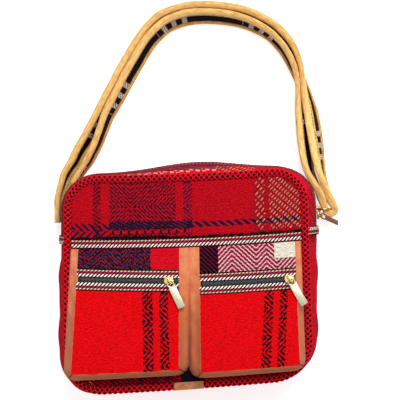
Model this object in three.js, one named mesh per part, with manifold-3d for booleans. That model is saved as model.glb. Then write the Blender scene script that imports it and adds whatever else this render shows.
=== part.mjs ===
// A soft kilim crossbody bag lying on its back, with two bellows pockets and a doubled strap.
// Units are millimetres. +X is the bag's right as seen, +Y its top, +Z its front.
// The origin is the middle of the back panel's resting face.
import * as THREE from 'three';
import { mergeVertices } from 'three/addons/utils/BufferGeometryUtils.js';
import Module from 'manifold-3d';

const wasm = await Module();
wasm.setup();

// Body
const PANEL_WIDTH = 289;
const PANEL_TOP = 125;
const PANEL_BOTTOM = 127.5;
const CORNER_TOP = 41;
const CORNER_BOTTOM = 46;
const BODY_DEPTH = 90;
const PANEL_THICK = 3;
const FRONT_CROWN = 5;
const GUSSET_THICK = 2.4;
const GUSSET_TUCK = 2;
const BULGE_LEFT = 7;
const BULGE_RIGHT = 13;
const BULGE_TOP = 4;
const BULGE_BOTTOM = 4;
const DOME_RISE = 12;
const DOME_WIDTH = 70;
const DOME_X = 15;
const GUSSET_JOINT_Y = 49;
const SIDE_TAPE_WIDTH = 10;

// Edging and seams
const EDGING_WIDTH = 9;
const EDGING_HEIGHT = 7;
const REAR_EDGING_LIFT = 0.5;
const SEAM_GAP = 0.3;
const PATCH_LENGTH = 34;

// Main zip in the top gusset
const MAIN_ZIP_Z = 52;
const ZIP_GAP = 7;
const TWILL_WIDTH = 9;
const TWILL_THICK = 1.6;
const ZIP_TAPE_THICK = 0.9;
const COIL_WIDTH = 5.6;
const COIL_HEIGHT = 2.4;

// Slump of the soft bag on its back: shares of X and Y
const TILT = 0.025;
const TILT_BOW = 0.023;
const TILT_LOW = 0.045;
const TILT_HIGH = 0.011;
const TILT_HIGH_BOW = 0.0235;
const LEAN_RIGHT = 0.033;

// Front pockets
const TAPE_TOP_Y = 50;
const TAPE_WIDTH = 11;
const POCKET_RISE_TOP = 4;
const POCKET_RISE_BOTTOM = 22;
const WALL_THICK = 2;
const WALL_CORNER = 6;
const WALL_SPREAD_BOTTOM = 8;
const CLOTH_THICK = 2;
const LEFT_POCKET = {
  side: 'left', xLeft: -126.5, xRight: -8.5, length: 141, flareLeft: 8.5, flareRight: -2,
  spreadLeft: 9.5, spreadRight: 10, zipTilt: -0.03, sliderX: -21, strip: 24,
};
const RIGHT_POCKET = {
  side: 'right', xLeft: 15, xRight: 127, length: 146, flareLeft: 1, flareRight: 1,
  spreadLeft: 11.5, spreadRight: 7.5, zipTilt: 0, sliderX: 119, strip: 30.5,
};

// Sliders and pulls
const SLIDER_LENGTH = 11;
const SLIDER_WIDTH = 9;
const SLIDER_HEIGHT = 2.6;
const BAIL_HEIGHT = 2.8;
const BAIL_REACH = 2.6;
const BAIL_LEG = 1.4;
const BAIL_WIDTH = 1.8;
const PULL_LENGTH = 35;
const PULL_WIDTH = 9;
const PULL_THICK = 1.5;
const PULL_TURN = -64;
const PULL_DROP = 4;
const EYE_WIDTH = 7;
const EYE_HOLE = 6;
const MAIN_SLIDER_Y = 67;
const MAIN_PULL_LENGTH = 27;
const MAIN_PULL_WIDTH = 7;
const MAIN_PULL_TURN = 233;
const MAIN_PULL_DROP = -48;
const RUN_GAP = 0.4;

// Strap, ring and ring tab
const BINDING_WIDTH = 12;
const BINDING_THICK = 6.4;
const BAND_WIDTH = 13;
const BAND_THICK = 2.6;
const GATHERED_BINDING = 4.6;
const GATHERED_BAND = 2.2;
const GATHERED_THICK = 4.4;
const RING_RADIUS = 8.5;
const RING_WIRE = 2.8;
const RING_Z = 27;
const RING_Y = 74;
const TURN_RADIUS = 6;
const RING_TAB_WIDTH = 7;
const RING_TAB_SLACK = 1;
const RING_TAB_WALL = 2.2;

// Strap route seen from above: x, y, height of its middle, lean in degrees, share of its full width
const STRAP_OUTER = [
  [-155, 67, 26, 0, 1], [-155.5, 82, 25, 0, 1], [-155, 95, 24, 4, 1], [-151, 111, 23, 7, 1],
  [-146, 126, 22, 10, 1], [-137, 140, 21, 13, 1], [-130, 154, 21, 14, 1], [-120, 171, 20, 14, 1],
  [-104, 200, 20, 14, 1], [-92, 223, 20, 14, 1], [-80, 246, 20, 14, 1], [-68, 267, 20, 14, 1],
  [-55, 288, 20, 14, 1], [-43, 303, 20, 14, 1], [-30, 314, 20, 14, 1], [-8, 322, 20, 14, 1],
  [15, 325, 20, 14, 1], [47, 323, 20, 14, 1], [73, 317, 20, 14, 1], [99, 304, 20, 14, 1],
  [113, 292, 20, 13, 1], [125, 277, 20, 10, 1], [133.5, 258, 20, 6, 1], [139.5, 237, 20, -4, 1],
  [143.5, 218, 20, -12, 1], [147, 202, 20, -17, 1], [150, 184, 21, -19, 1], [153, 166, 21, -18, 1],
  [156, 148, 22, -15, 1], [159, 132, 23, -10, 0.95], [163, 116, 25, -5, 0.8], [169, 100, 26, 0, 0.4],
];
const STRAP_INNER = [
  [159.5, 100, 26, 0, 0.4], [153, 113, 25, 4, 0.8], [145, 131, 23, 10, 0.95], [141.5, 152, 22, 15, 1],
  [139.5, 172, 21, 17, 1], [138, 188, 20, 16, 1], [136.5, 202, 20, 14, 1], [135, 219, 20, 9, 1],
  [132.3, 236, 20, 2, 1], [127, 254, 20, -6, 1], [118, 272, 20, -10, 1], [107, 286, 20, -13, 1],
  [94, 297, 20, -14, 1], [71, 308.5, 20, -14, 1], [46, 314.5, 20, -14, 1], [15, 316.5, 20, -14, 1],
  [-6, 313.5, 20, -14, 1], [-24, 306.5, 20, -14, 1], [-37, 296, 20, -14, 1], [-49, 282, 20, -14, 1],
  [-61, 262, 20, -14, 1], [-73, 241, 20, -14, 1], [-85, 218, 20, -14, 1], [-96, 197, 20, -14, 1],
  [-103, 178, 20, -14, 1], [-108, 162, 20, -14, 1], [-113, 151, 21, -13, 1], [-119, 140, 22, -10, 1],
  [-126.5, 130, 23, 0, 1],
];

const HALF_WIDTH = PANEL_WIDTH / 2;
const EDGING_BOTTOM = BODY_DEPTH - EDGING_HEIGHT;
const REAR_EDGING_TOP = REAR_EDGING_LIFT + EDGING_HEIGHT;
const GUSSET_BACK = REAR_EDGING_TOP + SEAM_GAP;
const GUSSET_FRONT = EDGING_BOTTOM - SEAM_GAP;
const GUSSET_MIDDLE = (GUSSET_BACK + GUSSET_FRONT) / 2;
const GUSSET_HALF = (GUSSET_FRONT - GUSSET_BACK) / 2;
const UPPER_JOINT_Y = GUSSET_JOINT_Y + SEAM_GAP;
const PANEL_INSET = EDGING_WIDTH + SEAM_GAP;
const FRONT_RIM_Z = BODY_DEPTH - EDGING_HEIGHT / 2 + PANEL_THICK / 2;
const POCKET_TOP_Y = TAPE_TOP_Y - TAPE_WIDTH - SEAM_GAP;
const POCKET_BASE_Z = FRONT_RIM_Z + FRONT_CROWN;

const bag = new THREE.Group();

function addPiece(name, geometry, colour, roughness, metalness = 0) {
  const material = new THREE.MeshStandardMaterial({ color: colour, roughness, metalness });
  const mesh = new THREE.Mesh(geometry, material);
  mesh.name = name;
  bag.add(mesh);
  return mesh;
}

// Flat plan of the straight bag to the plan of the slumped one
function slump(x, y) {
  const right = x / PANEL_WIDTH + 0.5;
  const low = Math.max(0, -y) / PANEL_BOTTOM;
  const tilt = TILT + TILT_LOW * low + TILT_HIGH * (1 - low);
  const bow = TILT_BOW + TILT_HIGH_BOW * (1 - low);
  const rise = x * tilt + bow * x * x / PANEL_WIDTH;
  return [x - LEAN_RIGHT * y * right, y + rise];
}

function slumped(x, y, z) {
  const [sx, sy] = slump(x, y);
  return [sx, sy, z];
}

// Closed geometry from points and triangles, turned so that its faces point out
function solid(points, triangles) {
  let volume = 0;
  for (const [a, b, c] of triangles) {
    const [p, q, r] = [points[a], points[b], points[c]];
    volume += p[0] * (q[1] * r[2] - q[2] * r[1]) - p[1] * (q[0] * r[2] - q[2] * r[0])
      + p[2] * (q[0] * r[1] - q[1] * r[0]);
  }
  const faces = volume < 0 ? triangles.map(([a, b, c]) => [a, c, b]) : triangles;
  const geometry = new THREE.BufferGeometry();
  geometry.setAttribute('position', new THREE.Float32BufferAttribute(points.flat(), 3));
  geometry.setIndex(faces.flat());
  geometry.computeVertexNormals();
  return geometry;
}

// Skin through a row of sections; each section runs up one side and back down the other
function loft(sections, closed = false) {
  const count = sections[0].length;
  const triangles = [];
  const quad = (a, b, c, d) => triangles.push([a, b, c], [a, c, d]);
  const last = sections.length - (closed ? 0 : 1);
  for (let i = 0; i < last; i++) {
    const from = i * count;
    const to = ((i + 1) % sections.length) * count;
    for (let k = 0; k < count; k++) {
      const next = (k + 1) % count;
      quad(from + k, from + next, to + next, to + k);
    }
  }
  if (!closed) {
    const end = (sections.length - 1) * count;
    for (let k = 0; k < count / 2 - 1; k++) {
      const back = count - 1 - k;
      quad(k, back, back - 1, k + 1);
      quad(end + k, end + k + 1, end + back - 1, end + back);
    }
  }
  return solid(sections.flat(), triangles);
}

// Stations along the outline, each with its outward normal
function sideStations(x0, y0, x1, y1, nx, ny, steps) {
  const stations = [];
  for (let i = 0; i < steps; i++) {
    const f = i / steps;
    stations.push({ x: x0 + (x1 - x0) * f, y: y0 + (y1 - y0) * f, nx, ny });
  }
  return stations;
}

function cornerStations(cx, cy, radius, startAngle, steps) {
  const stations = [];
  for (let i = 0; i < steps; i++) {
    const angle = startAngle + (Math.PI / 2) * (i / steps);
    const nx = Math.cos(angle);
    const ny = Math.sin(angle);
    stations.push({ x: cx + radius * nx, y: cy + radius * ny, nx, ny });
  }
  return stations;
}

const CORNER_STEPS = 7;

// Outline from the joint on the right side over the top to the joint on the left
function upperRim() {
  const topX = HALF_WIDTH - CORNER_TOP;
  const topY = PANEL_TOP - CORNER_TOP;
  return [
    ...sideStations(HALF_WIDTH, UPPER_JOINT_Y, HALF_WIDTH, topY, 1, 0, 3),
    ...cornerStations(topX, topY, CORNER_TOP, 0, CORNER_STEPS),
    ...sideStations(topX, PANEL_TOP, -topX, PANEL_TOP, 0, 1, 12),
    ...cornerStations(-topX, topY, CORNER_TOP, Math.PI / 2, CORNER_STEPS),
    ...sideStations(-HALF_WIDTH, topY, -HALF_WIDTH, UPPER_JOINT_Y, -1, 0, 3),
    { x: -HALF_WIDTH, y: UPPER_JOINT_Y, nx: -1, ny: 0 },
  ];
}

// Outline from the left joint round the bottom to the right joint
function lowerRim() {
  const lowX = HALF_WIDTH - CORNER_BOTTOM;
  const lowY = CORNER_BOTTOM - PANEL_BOTTOM;
  return [
    ...sideStations(-HALF_WIDTH, GUSSET_JOINT_Y, -HALF_WIDTH, lowY, -1, 0, 6),
    ...cornerStations(-lowX, lowY, CORNER_BOTTOM, Math.PI, CORNER_STEPS),
    ...sideStations(-lowX, -PANEL_BOTTOM, lowX, -PANEL_BOTTOM, 0, -1, 8),
    ...cornerStations(lowX, lowY, CORNER_BOTTOM, 1.5 * Math.PI, CORNER_STEPS),
    ...sideStations(HALF_WIDTH, lowY, HALF_WIDTH, GUSSET_JOINT_Y, 1, 0, 6),
    { x: HALF_WIDTH, y: GUSSET_JOINT_Y, nx: 1, ny: 0 },
  ];
}

const fullRim = [...upperRim().slice(0, -1), ...lowerRim().slice(0, -1)];

// Outward swell of the gusset at a station and a height
function gussetOffset(station, z) {
  const { x, nx, ny } = station;
  const across = nx > 0 ? BULGE_RIGHT : BULGE_LEFT;
  const along = ny > 0 ? BULGE_TOP : BULGE_BOTTOM;
  const dome = DOME_RISE * Math.max(0, ny) * Math.exp(-(((x - DOME_X) / DOME_WIDTH) ** 2));
  const height = (z - GUSSET_MIDDLE) / GUSSET_HALF;
  return (across * nx * nx + along * ny * ny + dome) * (1 - height * height) - GUSSET_TUCK;
}

// A strip of the gusset between two heights; lift sets it on top of what lies below
function gussetStrip(rim, zLow, zHigh, lift, thick, steps) {
  const sections = rim.map((station) => {
    const outside = [];
    const inside = [];
    for (let i = 0; i <= steps; i++) {
      const z = zLow + (zHigh - zLow) * (i / steps);
      const out = gussetOffset(station, z) + lift;
      const { x, y, nx, ny } = station;
      outside.push(slumped(x + nx * out, y + ny * out, z));
      inside.unshift(slumped(x + nx * (out - thick), y + ny * (out - thick), z));
    }
    return [...outside, ...inside];
  });
  return loft(sections);
}

// Overcast braid round the panel, eight-sided in section
function edging(zTop) {
  const half = EDGING_WIDTH / 2;
  const tall = EDGING_HEIGHT / 2;
  const sections = fullRim.map(({ x, y, nx, ny }) => {
    const section = [];
    for (let k = 0; k < 8; k++) {
      const angle = Math.PI / 8 + k * Math.PI / 4;
      const out = half * (Math.cos(angle) / Math.cos(Math.PI / 8) - 1);
      const z = zTop - tall + tall * Math.sin(angle) / Math.cos(Math.PI / 8);
      section.push(slumped(x + nx * out, y + ny * out, z));
    }
    return section;
  });
  return loft(sections, true);
}

// Height of the front panel's face over the plan
function frontHeight(x, y) {
  const u = x / HALF_WIDTH;
  const v = y / (y > 0 ? PANEL_TOP : PANEL_BOTTOM);
  return FRONT_RIM_Z + FRONT_CROWN * Math.max(0, 1 - u * u) * Math.max(0, 1 - v * v);
}

// A sheet inside the edging, ringed towards its middle
function panel(topAt, bottomAt) {
  const shares = [1, 0.8, 0.55, 0.28];
  const points = [];
  const count = fullRim.length;
  for (const heightAt of [topAt, bottomAt]) {
    for (const share of shares) {
      for (const { x, y, nx, ny } of fullRim) {
        const px = (x - nx * PANEL_INSET) * share;
        const py = (y - ny * PANEL_INSET) * share;
        points.push(slumped(px, py, heightAt(px, py)));
      }
    }
    points.push(slumped(0, 0, heightAt(0, 0)));
  }
  const side = count * shares.length + 1;
  const triangles = [];
  for (let k = 0; k < count; k++) {
    const next = (k + 1) % count;
    for (let ring = 0; ring < shares.length - 1; ring++) {
      const [a, b] = [ring * count + k, ring * count + next];
      const [c, d] = [a + count, b + count];
      triangles.push([a, b, d], [a, d, c]);
      triangles.push([side + a, side + d, side + b], [side + a, side + c, side + d]);
    }
    const inner = (shares.length - 1) * count;
    triangles.push([inner + k, inner + next, side - 1]);
    triangles.push([side + inner + next, side + inner + k, 2 * side - 1]);
    triangles.push([k, side + k, side + next], [k, side + next, next]);
  }
  return solid(points, triangles);
}

// A thin sheet over a four-sided plan; edges are functions of the other coordinate
function sheet(leftAt, rightAt, topAt, bottomAt, heightAt, thick, stepsX, stepsY) {
  const sections = [];
  for (let i = 0; i <= stepsX; i++) {
    const face = [];
    const under = [];
    for (let j = 0; j <= stepsY; j++) {
      const share = j / stepsY;
      const middle = (topAt(0) + bottomAt(0)) / 2;
      const x0 = leftAt(middle) + (rightAt(middle) - leftAt(middle)) * (i / stepsX);
      const y = topAt(x0) + (bottomAt(x0) - topAt(x0)) * share;
      const x = leftAt(y) + (rightAt(y) - leftAt(y)) * (i / stepsX);
      const z = heightAt(x, y);
      face.push(slumped(x, y, z));
      under.unshift(slumped(x, y, z - thick));
    }
    sections.push([...face, ...under]);
  }
  return loft(sections);
}

const RED = '#c4161f';
const DEEP_RED = '#a3131f';
const TWILL = '#b08a72';
const TAN = '#c07a55';
const MUSTARD = '#e0b465';
const BLACK = '#1c1518';
const BRASS = '#c8b37a';
const COPPER = '#8f5f4c';

// Panels, gusset and edging
function addBody() {
  addPiece('back_panel', panel(() => PANEL_THICK, () => 0), RED, 0.95);
  addPiece('front_panel', panel(frontHeight, (x, y) => frontHeight(x, y) - PANEL_THICK), DEEP_RED, 0.95);
  addPiece('rear_edging', edging(REAR_EDGING_TOP), RED, 0.9);
  addPiece('front_edging', edging(BODY_DEPTH), RED, 0.9);
  const lower = gussetStrip(lowerRim(), GUSSET_BACK, GUSSET_FRONT, 0, GUSSET_THICK, 6);
  addPiece('lower_gusset', lower, RED, 0.95);
}

// Zip in the top gusset, between two twill tapes sewn to a wide rear and a narrow front strip
function addTopGusset() {
  const rim = upperRim();
  const zipBack = MAIN_ZIP_Z - ZIP_GAP / 2;
  const zipFront = MAIN_ZIP_Z + ZIP_GAP / 2;
  const tapeBack = zipBack - TWILL_WIDTH;
  const tapeFront = zipFront + TWILL_WIDTH;
  const strip = (name, low, high, lift, thick, steps, colour) =>
    addPiece(name, gussetStrip(rim, low, high, lift, thick, steps), colour, 0.95);
  strip('top_gusset_rear', GUSSET_BACK, tapeBack - SEAM_GAP, 0, GUSSET_THICK, 4, RED);
  strip('top_gusset_front', tapeFront + SEAM_GAP, GUSSET_FRONT, 0, GUSSET_THICK, 2, RED);
  strip('main_twill_rear', tapeBack, zipBack, 0, TWILL_THICK, 1, TWILL);
  strip('main_twill_front', zipFront, tapeFront, 0, TWILL_THICK, 1, TWILL);
  const tapeLift = -TWILL_THICK - SEAM_GAP;
  strip('main_zip_tape', tapeBack, tapeFront, tapeLift, ZIP_TAPE_THICK, 2, BLACK);
  const coilLift = tapeLift + SEAM_GAP + COIL_HEIGHT;
  const coilBack = MAIN_ZIP_Z - COIL_WIDTH / 2;
  strip('main_zip_coil', coilBack, coilBack + COIL_WIDTH, coilLift, COIL_HEIGHT, 1, BLACK);
}

// Twill tapes over the joints of the gusset, left and right
function addSideTapes() {
  for (const [name, side] of [['side_tape_left', -1], ['side_tape_right', 1]]) {
    const low = GUSSET_JOINT_Y - SIDE_TAPE_WIDTH / 2;
    const high = GUSSET_JOINT_Y + SIDE_TAPE_WIDTH / 2;
    const rim = [low, (low + high) / 2, high].map((y) => ({ x: side * HALF_WIDTH, y, nx: side, ny: 0 }));
    const lift = COIL_HEIGHT + SEAM_GAP;
    const tape = gussetStrip(rim, GUSSET_BACK, GUSSET_FRONT, lift, TWILL_THICK, 12);
    addPiece(name, tape, TWILL, 0.95);
  }
}

// Tape across the front panel, and the patch over the ends of the edging
function addFrontTapes() {
  const reach = HALF_WIDTH - PANEL_INSET - SEAM_GAP;
  const onPanel = (x, y) => frontHeight(x, y) + SEAM_GAP + TWILL_THICK;
  const bottom = TAPE_TOP_Y - TAPE_WIDTH;
  const tape = sheet(() => -reach, () => reach, () => TAPE_TOP_Y, () => bottom, onPanel, TWILL_THICK, 16, 1);
  addPiece('cross_tape', tape, TWILL, 0.95);
  const half = PATCH_LENGTH / 2;
  const onEdging = () => BODY_DEPTH + SEAM_GAP + WALL_THICK;
  const low = -PANEL_BOTTOM;
  const high = low + EDGING_WIDTH;
  const patch = sheet(() => -half, () => half, () => high, () => low, onEdging, WALL_THICK, 4, 1);
  addPiece('edging_patch', patch, TAN, 0.85);
}

// Height of a pocket's face, which rises from the tape to the pocket's bottom
function pocketHeight(pocket, y) {
  const share = (POCKET_TOP_Y - y) / pocket.length;
  return POCKET_BASE_Z + POCKET_RISE_TOP + (POCKET_RISE_BOTTOM - POCKET_RISE_TOP) * share;
}

// Side edges of a pocket's face, which flare towards the bottom
function pocketEdges(pocket) {
  const share = (y) => (POCKET_TOP_Y - y) / pocket.length;
  return {
    leftAt: (y) => pocket.xLeft - pocket.flareLeft * share(y),
    rightAt: (y) => pocket.xRight + pocket.flareRight * share(y),
  };
}

// A line across a pocket's face, some way down from its top and tilted as its zip is
function pocketLine(pocket, down) {
  const middle = (pocket.xLeft + pocket.xRight) / 2;
  return (x) => POCKET_TOP_Y - down + pocket.zipTilt * (x - middle);
}

// Bellows wall: left side, bottom and right side, from the panel up to the edge of the face
function pocketWall(pocket) {
  const steps = 6;
  const { leftAt, rightAt } = pocketEdges(pocket);
  const lowY = POCKET_TOP_Y - pocket.length;
  const cornerY = lowY + WALL_CORNER;
  const cornerLeft = leftAt(lowY) + WALL_CORNER;
  const cornerRight = rightAt(lowY) - WALL_CORNER;
  const left = [];
  const right = [];
  for (let i = 0; i <= steps; i++) {
    const y = POCKET_TOP_Y + (cornerY - POCKET_TOP_Y) * (i / steps);
    left.push({ x: leftAt(y), y, nx: -1, ny: 0 });
    right.unshift({ x: rightAt(y), y, nx: 1, ny: 0 });
  }
  const stations = [
    ...left,
    ...cornerStations(cornerLeft, cornerY, WALL_CORNER, Math.PI, 4).slice(1),
    ...sideStations(cornerLeft, lowY, cornerRight, lowY, 0, -1, steps),
    ...cornerStations(cornerRight, cornerY, WALL_CORNER, 1.5 * Math.PI, 4),
    ...right,
  ];
  const sections = stations.map(({ x, y, nx, ny }) => {
    const side = nx < 0 ? pocket.spreadLeft : pocket.spreadRight;
    const spread = side * nx * nx + WALL_SPREAD_BOTTOM * ny * ny;
    const at = (out) => [x + nx * out, y + ny * out];
    const foot = ([px, py]) => slumped(px, py, Math.max(frontHeight(px, py), BODY_DEPTH) + SEAM_GAP);
    const head = ([px, py]) => slumped(px, py, pocketHeight(pocket, y) - CLOTH_THICK - SEAM_GAP);
    return [foot(at(spread)), head(at(0)), head(at(-WALL_THICK)), foot(at(spread - WALL_THICK))];
  });
  return loft(sections);
}

// One front pocket: strip, tape, zip, tape and plain face over the bellows wall
function addPocket(pocket) {
  const { leftAt, rightAt } = pocketEdges(pocket);
  const line = (down) => pocketLine(pocket, down);
  const inset = WALL_THICK + SEAM_GAP;
  const piece = (name, top, bottom, lift, thick, stepsY, colour, tuck = 0) => {
    const height = (x, y) => pocketHeight(pocket, y) + lift;
    const from = (y) => leftAt(y) + tuck;
    const to = (y) => rightAt(y) - tuck;
    const cloth = sheet(from, to, top, bottom, height, thick, 8, stepsY);
    addPiece(`${pocket.side}_pocket_${name}`, cloth, colour, 0.95);
  };
  const zipTop = pocket.strip + TWILL_WIDTH;
  const zipBottom = zipTop + ZIP_GAP;
  const tapeBottom = zipBottom + TWILL_WIDTH;
  const coilTop = (zipTop + zipBottom - COIL_WIDTH) / 2;
  const coilLift = COIL_HEIGHT - TWILL_THICK;
  const zipTapeLift = -TWILL_THICK - SEAM_GAP;
  piece('strip', () => POCKET_TOP_Y, line(pocket.strip - SEAM_GAP), 0, CLOTH_THICK, 1, DEEP_RED);
  piece('twill_upper', line(pocket.strip), line(zipTop), 0, TWILL_THICK, 1, TWILL);
  piece('twill_lower', line(zipBottom), line(tapeBottom), 0, TWILL_THICK, 1, TWILL);
  piece('face', line(tapeBottom + SEAM_GAP), () => POCKET_TOP_Y - pocket.length, 0, CLOTH_THICK, 3, RED);
  piece('zip_coil', line(coilTop), line(coilTop + COIL_WIDTH), coilLift, COIL_HEIGHT, 1, BLACK);
  piece('zip_tape', line(pocket.strip), line(tapeBottom), zipTapeLift, ZIP_TAPE_THICK, 2, BLACK, inset);
  addPiece(`${pocket.side}_pocket_wall`, pocketWall(pocket), TAN, 0.85);
}

// Two closed geometries joined into one body
function join(first, second) {
  const [a, b] = [first, second].map((geometry) => {
    const bare = geometry.index ? geometry.toNonIndexed() : geometry.clone();
    bare.deleteAttribute('normal');
    bare.deleteAttribute('uv');
    const merged = mergeVertices(bare);
    const vertProperties = new Float32Array(merged.attributes.position.array);
    const triVerts = new Uint32Array(merged.index.array);
    return new wasm.Manifold(new wasm.Mesh({ numProp: 3, vertProperties, triVerts }));
  });
  const { vertProperties, triVerts } = a.add(b).getMesh();
  const geometry = new THREE.BufferGeometry();
  geometry.setAttribute('position', new THREE.Float32BufferAttribute(vertProperties, 3));
  geometry.setIndex(Array.from(triVerts));
  geometry.computeVertexNormals();
  return geometry;
}

function rectanglePath(x0, y0, x1, y1) {
  return [[x0, y0], [x1, y0], [x1, y1], [x0, y1]].map(([x, y]) => new THREE.Vector2(x, y));
}

// Zip slider: a wedge-ended body with a bail that points the way its pull hangs
function sliderGeometry(bailAngle) {
  const half = SLIDER_LENGTH / 2;
  const wide = SLIDER_WIDTH / 2;
  const plan = new THREE.Shape([[-half, -wide * 0.6], [-half * 0.4, -wide], [half * 0.6, -wide],
    [half, -wide * 0.5], [half, wide * 0.5], [half * 0.6, wide], [-half * 0.4, wide], [-half, wide * 0.6]]
    .map(([x, y]) => new THREE.Vector2(x, y)));
  const body = new THREE.ExtrudeGeometry(plan, { depth: SLIDER_HEIGHT, bevelEnabled: false });
  const reach = BAIL_REACH + BAIL_LEG;
  const sunk = SLIDER_HEIGHT / 2;
  const bail = new THREE.Shape(rectanglePath(-reach, -sunk, reach, BAIL_HEIGHT + BAIL_LEG));
  bail.holes.push(new THREE.Path(rectanglePath(-BAIL_REACH, 0, BAIL_REACH, BAIL_HEIGHT)));
  const loop = new THREE.ExtrudeGeometry(bail, { depth: BAIL_WIDTH, bevelEnabled: false });
  loop.translate(0, 0, -BAIL_WIDTH / 2);
  loop.rotateX(Math.PI / 2);
  loop.rotateZ(bailAngle);
  loop.translate(0, 0, SLIDER_HEIGHT);
  return join(body, loop);
}

// Flat pull tab whose eye hangs on the bail; its hinge line is its own Y axis
function pullGeometry(length, width) {
  const eye = EYE_WIDTH / 2;
  const wide = width / 2;
  const rim = PULL_THICK / 2;
  const eyeEnd = rim + EYE_HOLE + PULL_THICK;
  const outline = [[-rim, -eye], [eyeEnd, -eye], [eyeEnd, -wide], [length, -wide],
    [length, wide], [eyeEnd, wide], [eyeEnd, eye], [-rim, eye]];
  const plan = new THREE.Shape(outline.map(([x, y]) => new THREE.Vector2(x, y)));
  const holeHalf = eye - PULL_THICK;
  plan.holes.push(new THREE.Path(rectanglePath(rim, -holeHalf, rim + EYE_HOLE, holeHalf)));
  const tab = new THREE.ExtrudeGeometry(plan, { depth: PULL_THICK, bevelEnabled: false });
  return tab.translate(0, 0, -PULL_THICK / 2);
}

// Slider and pull on a zip: origin on the coil, along the zip, normal out of the cloth
function addSlider(name, origin, along, normal, pull) {
  const across = new THREE.Vector3().crossVectors(normal, along);
  const seat = new THREE.Matrix4().makeBasis(along, across, normal).setPosition(origin);
  const angle = THREE.MathUtils.degToRad(pull.turn);
  addPiece(`${name}_slider`, sliderGeometry(angle), BRASS, 0.35, 0.9).applyMatrix4(seat);
  const hinge = new THREE.Matrix4().makeRotationZ(angle);
  hinge.multiply(new THREE.Matrix4().makeRotationY(THREE.MathUtils.degToRad(pull.drop)));
  hinge.setPosition(0, 0, SLIDER_HEIGHT + BAIL_HEIGHT / 2);
  const tab = addPiece(`${name}_pull`, pullGeometry(pull.length, pull.width), pull.colour, 0.4, 0.8);
  tab.applyMatrix4(seat.multiply(hinge));
}

function addPocketSlider(pocket) {
  const down = pocket.strip + TWILL_WIDTH + ZIP_GAP / 2;
  const lift = COIL_HEIGHT - TWILL_THICK + RUN_GAP;
  const at = (x, below) => {
    const y = pocketLine(pocket, down + below)(x);
    return new THREE.Vector3(...slumped(x, y, pocketHeight(pocket, y) + lift));
  };
  const x = pocket.sliderX;
  const along = at(x + 1, 0).sub(at(x - 1, 0)).normalize();
  const upward = at(x, -1).sub(at(x, 1));
  const normal = new THREE.Vector3().crossVectors(along, upward).normalize();
  const pull = { turn: PULL_TURN, drop: PULL_DROP, length: PULL_LENGTH, width: PULL_WIDTH, colour: BRASS };
  addSlider(`${pocket.side}_zip`, at(x, 0), along, normal, pull);
}

// Slider of the main zip, near the zip's end on the right side
function addMainSlider() {
  const at = (y, z) => {
    const station = { x: HALF_WIDTH, y, nx: 1, ny: 0 };
    const out = gussetOffset(station, z) + COIL_HEIGHT - TWILL_THICK + RUN_GAP;
    return new THREE.Vector3(...slumped(HALF_WIDTH + out, y, z));
  };
  const origin = at(MAIN_SLIDER_Y, MAIN_ZIP_Z);
  const along = at(MAIN_SLIDER_Y + 1, MAIN_ZIP_Z).sub(at(MAIN_SLIDER_Y - 1, MAIN_ZIP_Z)).normalize();
  const half = COIL_WIDTH / 2;
  const slope = at(MAIN_SLIDER_Y, MAIN_ZIP_Z + half).sub(at(MAIN_SLIDER_Y, MAIN_ZIP_Z - half));
  const normal = new THREE.Vector3().crossVectors(along, slope).normalize();
  const pull = { turn: MAIN_PULL_TURN, drop: MAIN_PULL_DROP, length: MAIN_PULL_LENGTH,
    width: MAIN_PULL_WIDTH, colour: COPPER };
  addSlider('main_zip', origin, along, normal, pull);
}

// Where the ring hangs: on the right gusset, with the strap turning through its far side
function ringPlace() {
  const station = { x: HALF_WIDTH, y: RING_Y, nx: 1, ny: 0 };
  const out = gussetOffset(station, RING_Z + RING_TAB_WIDTH / 2);
  const [x, y] = slump(HALF_WIDTH + out, RING_Y);
  const wall = x + SEAM_GAP;
  const hole = wall + RING_TAB_WALL + RING_TAB_SLACK + RING_WIRE / 2;
  return { y, wall, hole, centre: hole + RING_RADIUS, turn: hole + 2 * RING_RADIUS - RING_WIRE / 2 };
}

// Strap frames: place, travel direction, width direction and share of the full width
function strapFrames() {
  const { turn, y: ringY } = ringPlace();
  const points = [...STRAP_OUTER];
  const steps = 8;
  for (let i = 0; i <= steps; i++) {
    const angle = -Math.PI * i / steps;
    points.push([turn + TURN_RADIUS * Math.cos(angle), ringY + TURN_RADIUS * Math.sin(angle), RING_Z, 0, 0]);
  }
  points.push(...STRAP_INNER);
  return points.map(([x, y, z, lean, share], i) => {
    const before = points[Math.max(0, i - 1)];
    const after = points[Math.min(points.length - 1, i + 1)];
    const travel = new THREE.Vector3(after[0] - before[0], after[1] - before[1], 0).normalize();
    const left = new THREE.Vector3(-travel.y, travel.x, 0);
    const angle = THREE.MathUtils.degToRad(lean);
    const up = new THREE.Vector3(0, 0, Math.cos(angle)).addScaledVector(left, Math.sin(angle));
    const face = new THREE.Vector3().crossVectors(travel, up);
    return { centre: new THREE.Vector3(x, y, z), up, face, share };
  });
}

const mixWidth = (gathered, full, share) => gathered + (full - gathered) * share;

// Padded binding along one edge of the strap, eight-sided in section
function bindingGeometry(side) {
  const sections = strapFrames().map(({ centre, up, face, share }) => {
    const band = mixWidth(GATHERED_BAND, BAND_WIDTH, share);
    const width = mixWidth(GATHERED_BINDING, BINDING_WIDTH, share);
    const thick = mixWidth(GATHERED_THICK, BINDING_THICK, share);
    const middle = centre.clone().addScaledVector(up, side * (band / 2 + SEAM_GAP + width / 2));
    const section = [];
    for (let k = 0; k < 8; k++) {
      const angle = Math.PI / 8 + k * Math.PI / 4;
      const point = middle.clone();
      point.addScaledVector(up, width / 2 * Math.cos(angle) / Math.cos(Math.PI / 8));
      point.addScaledVector(face, thick / 2 * Math.sin(angle) / Math.cos(Math.PI / 8));
      section.push(point.toArray());
    }
    return section;
  });
  return loft(sections);
}

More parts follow.
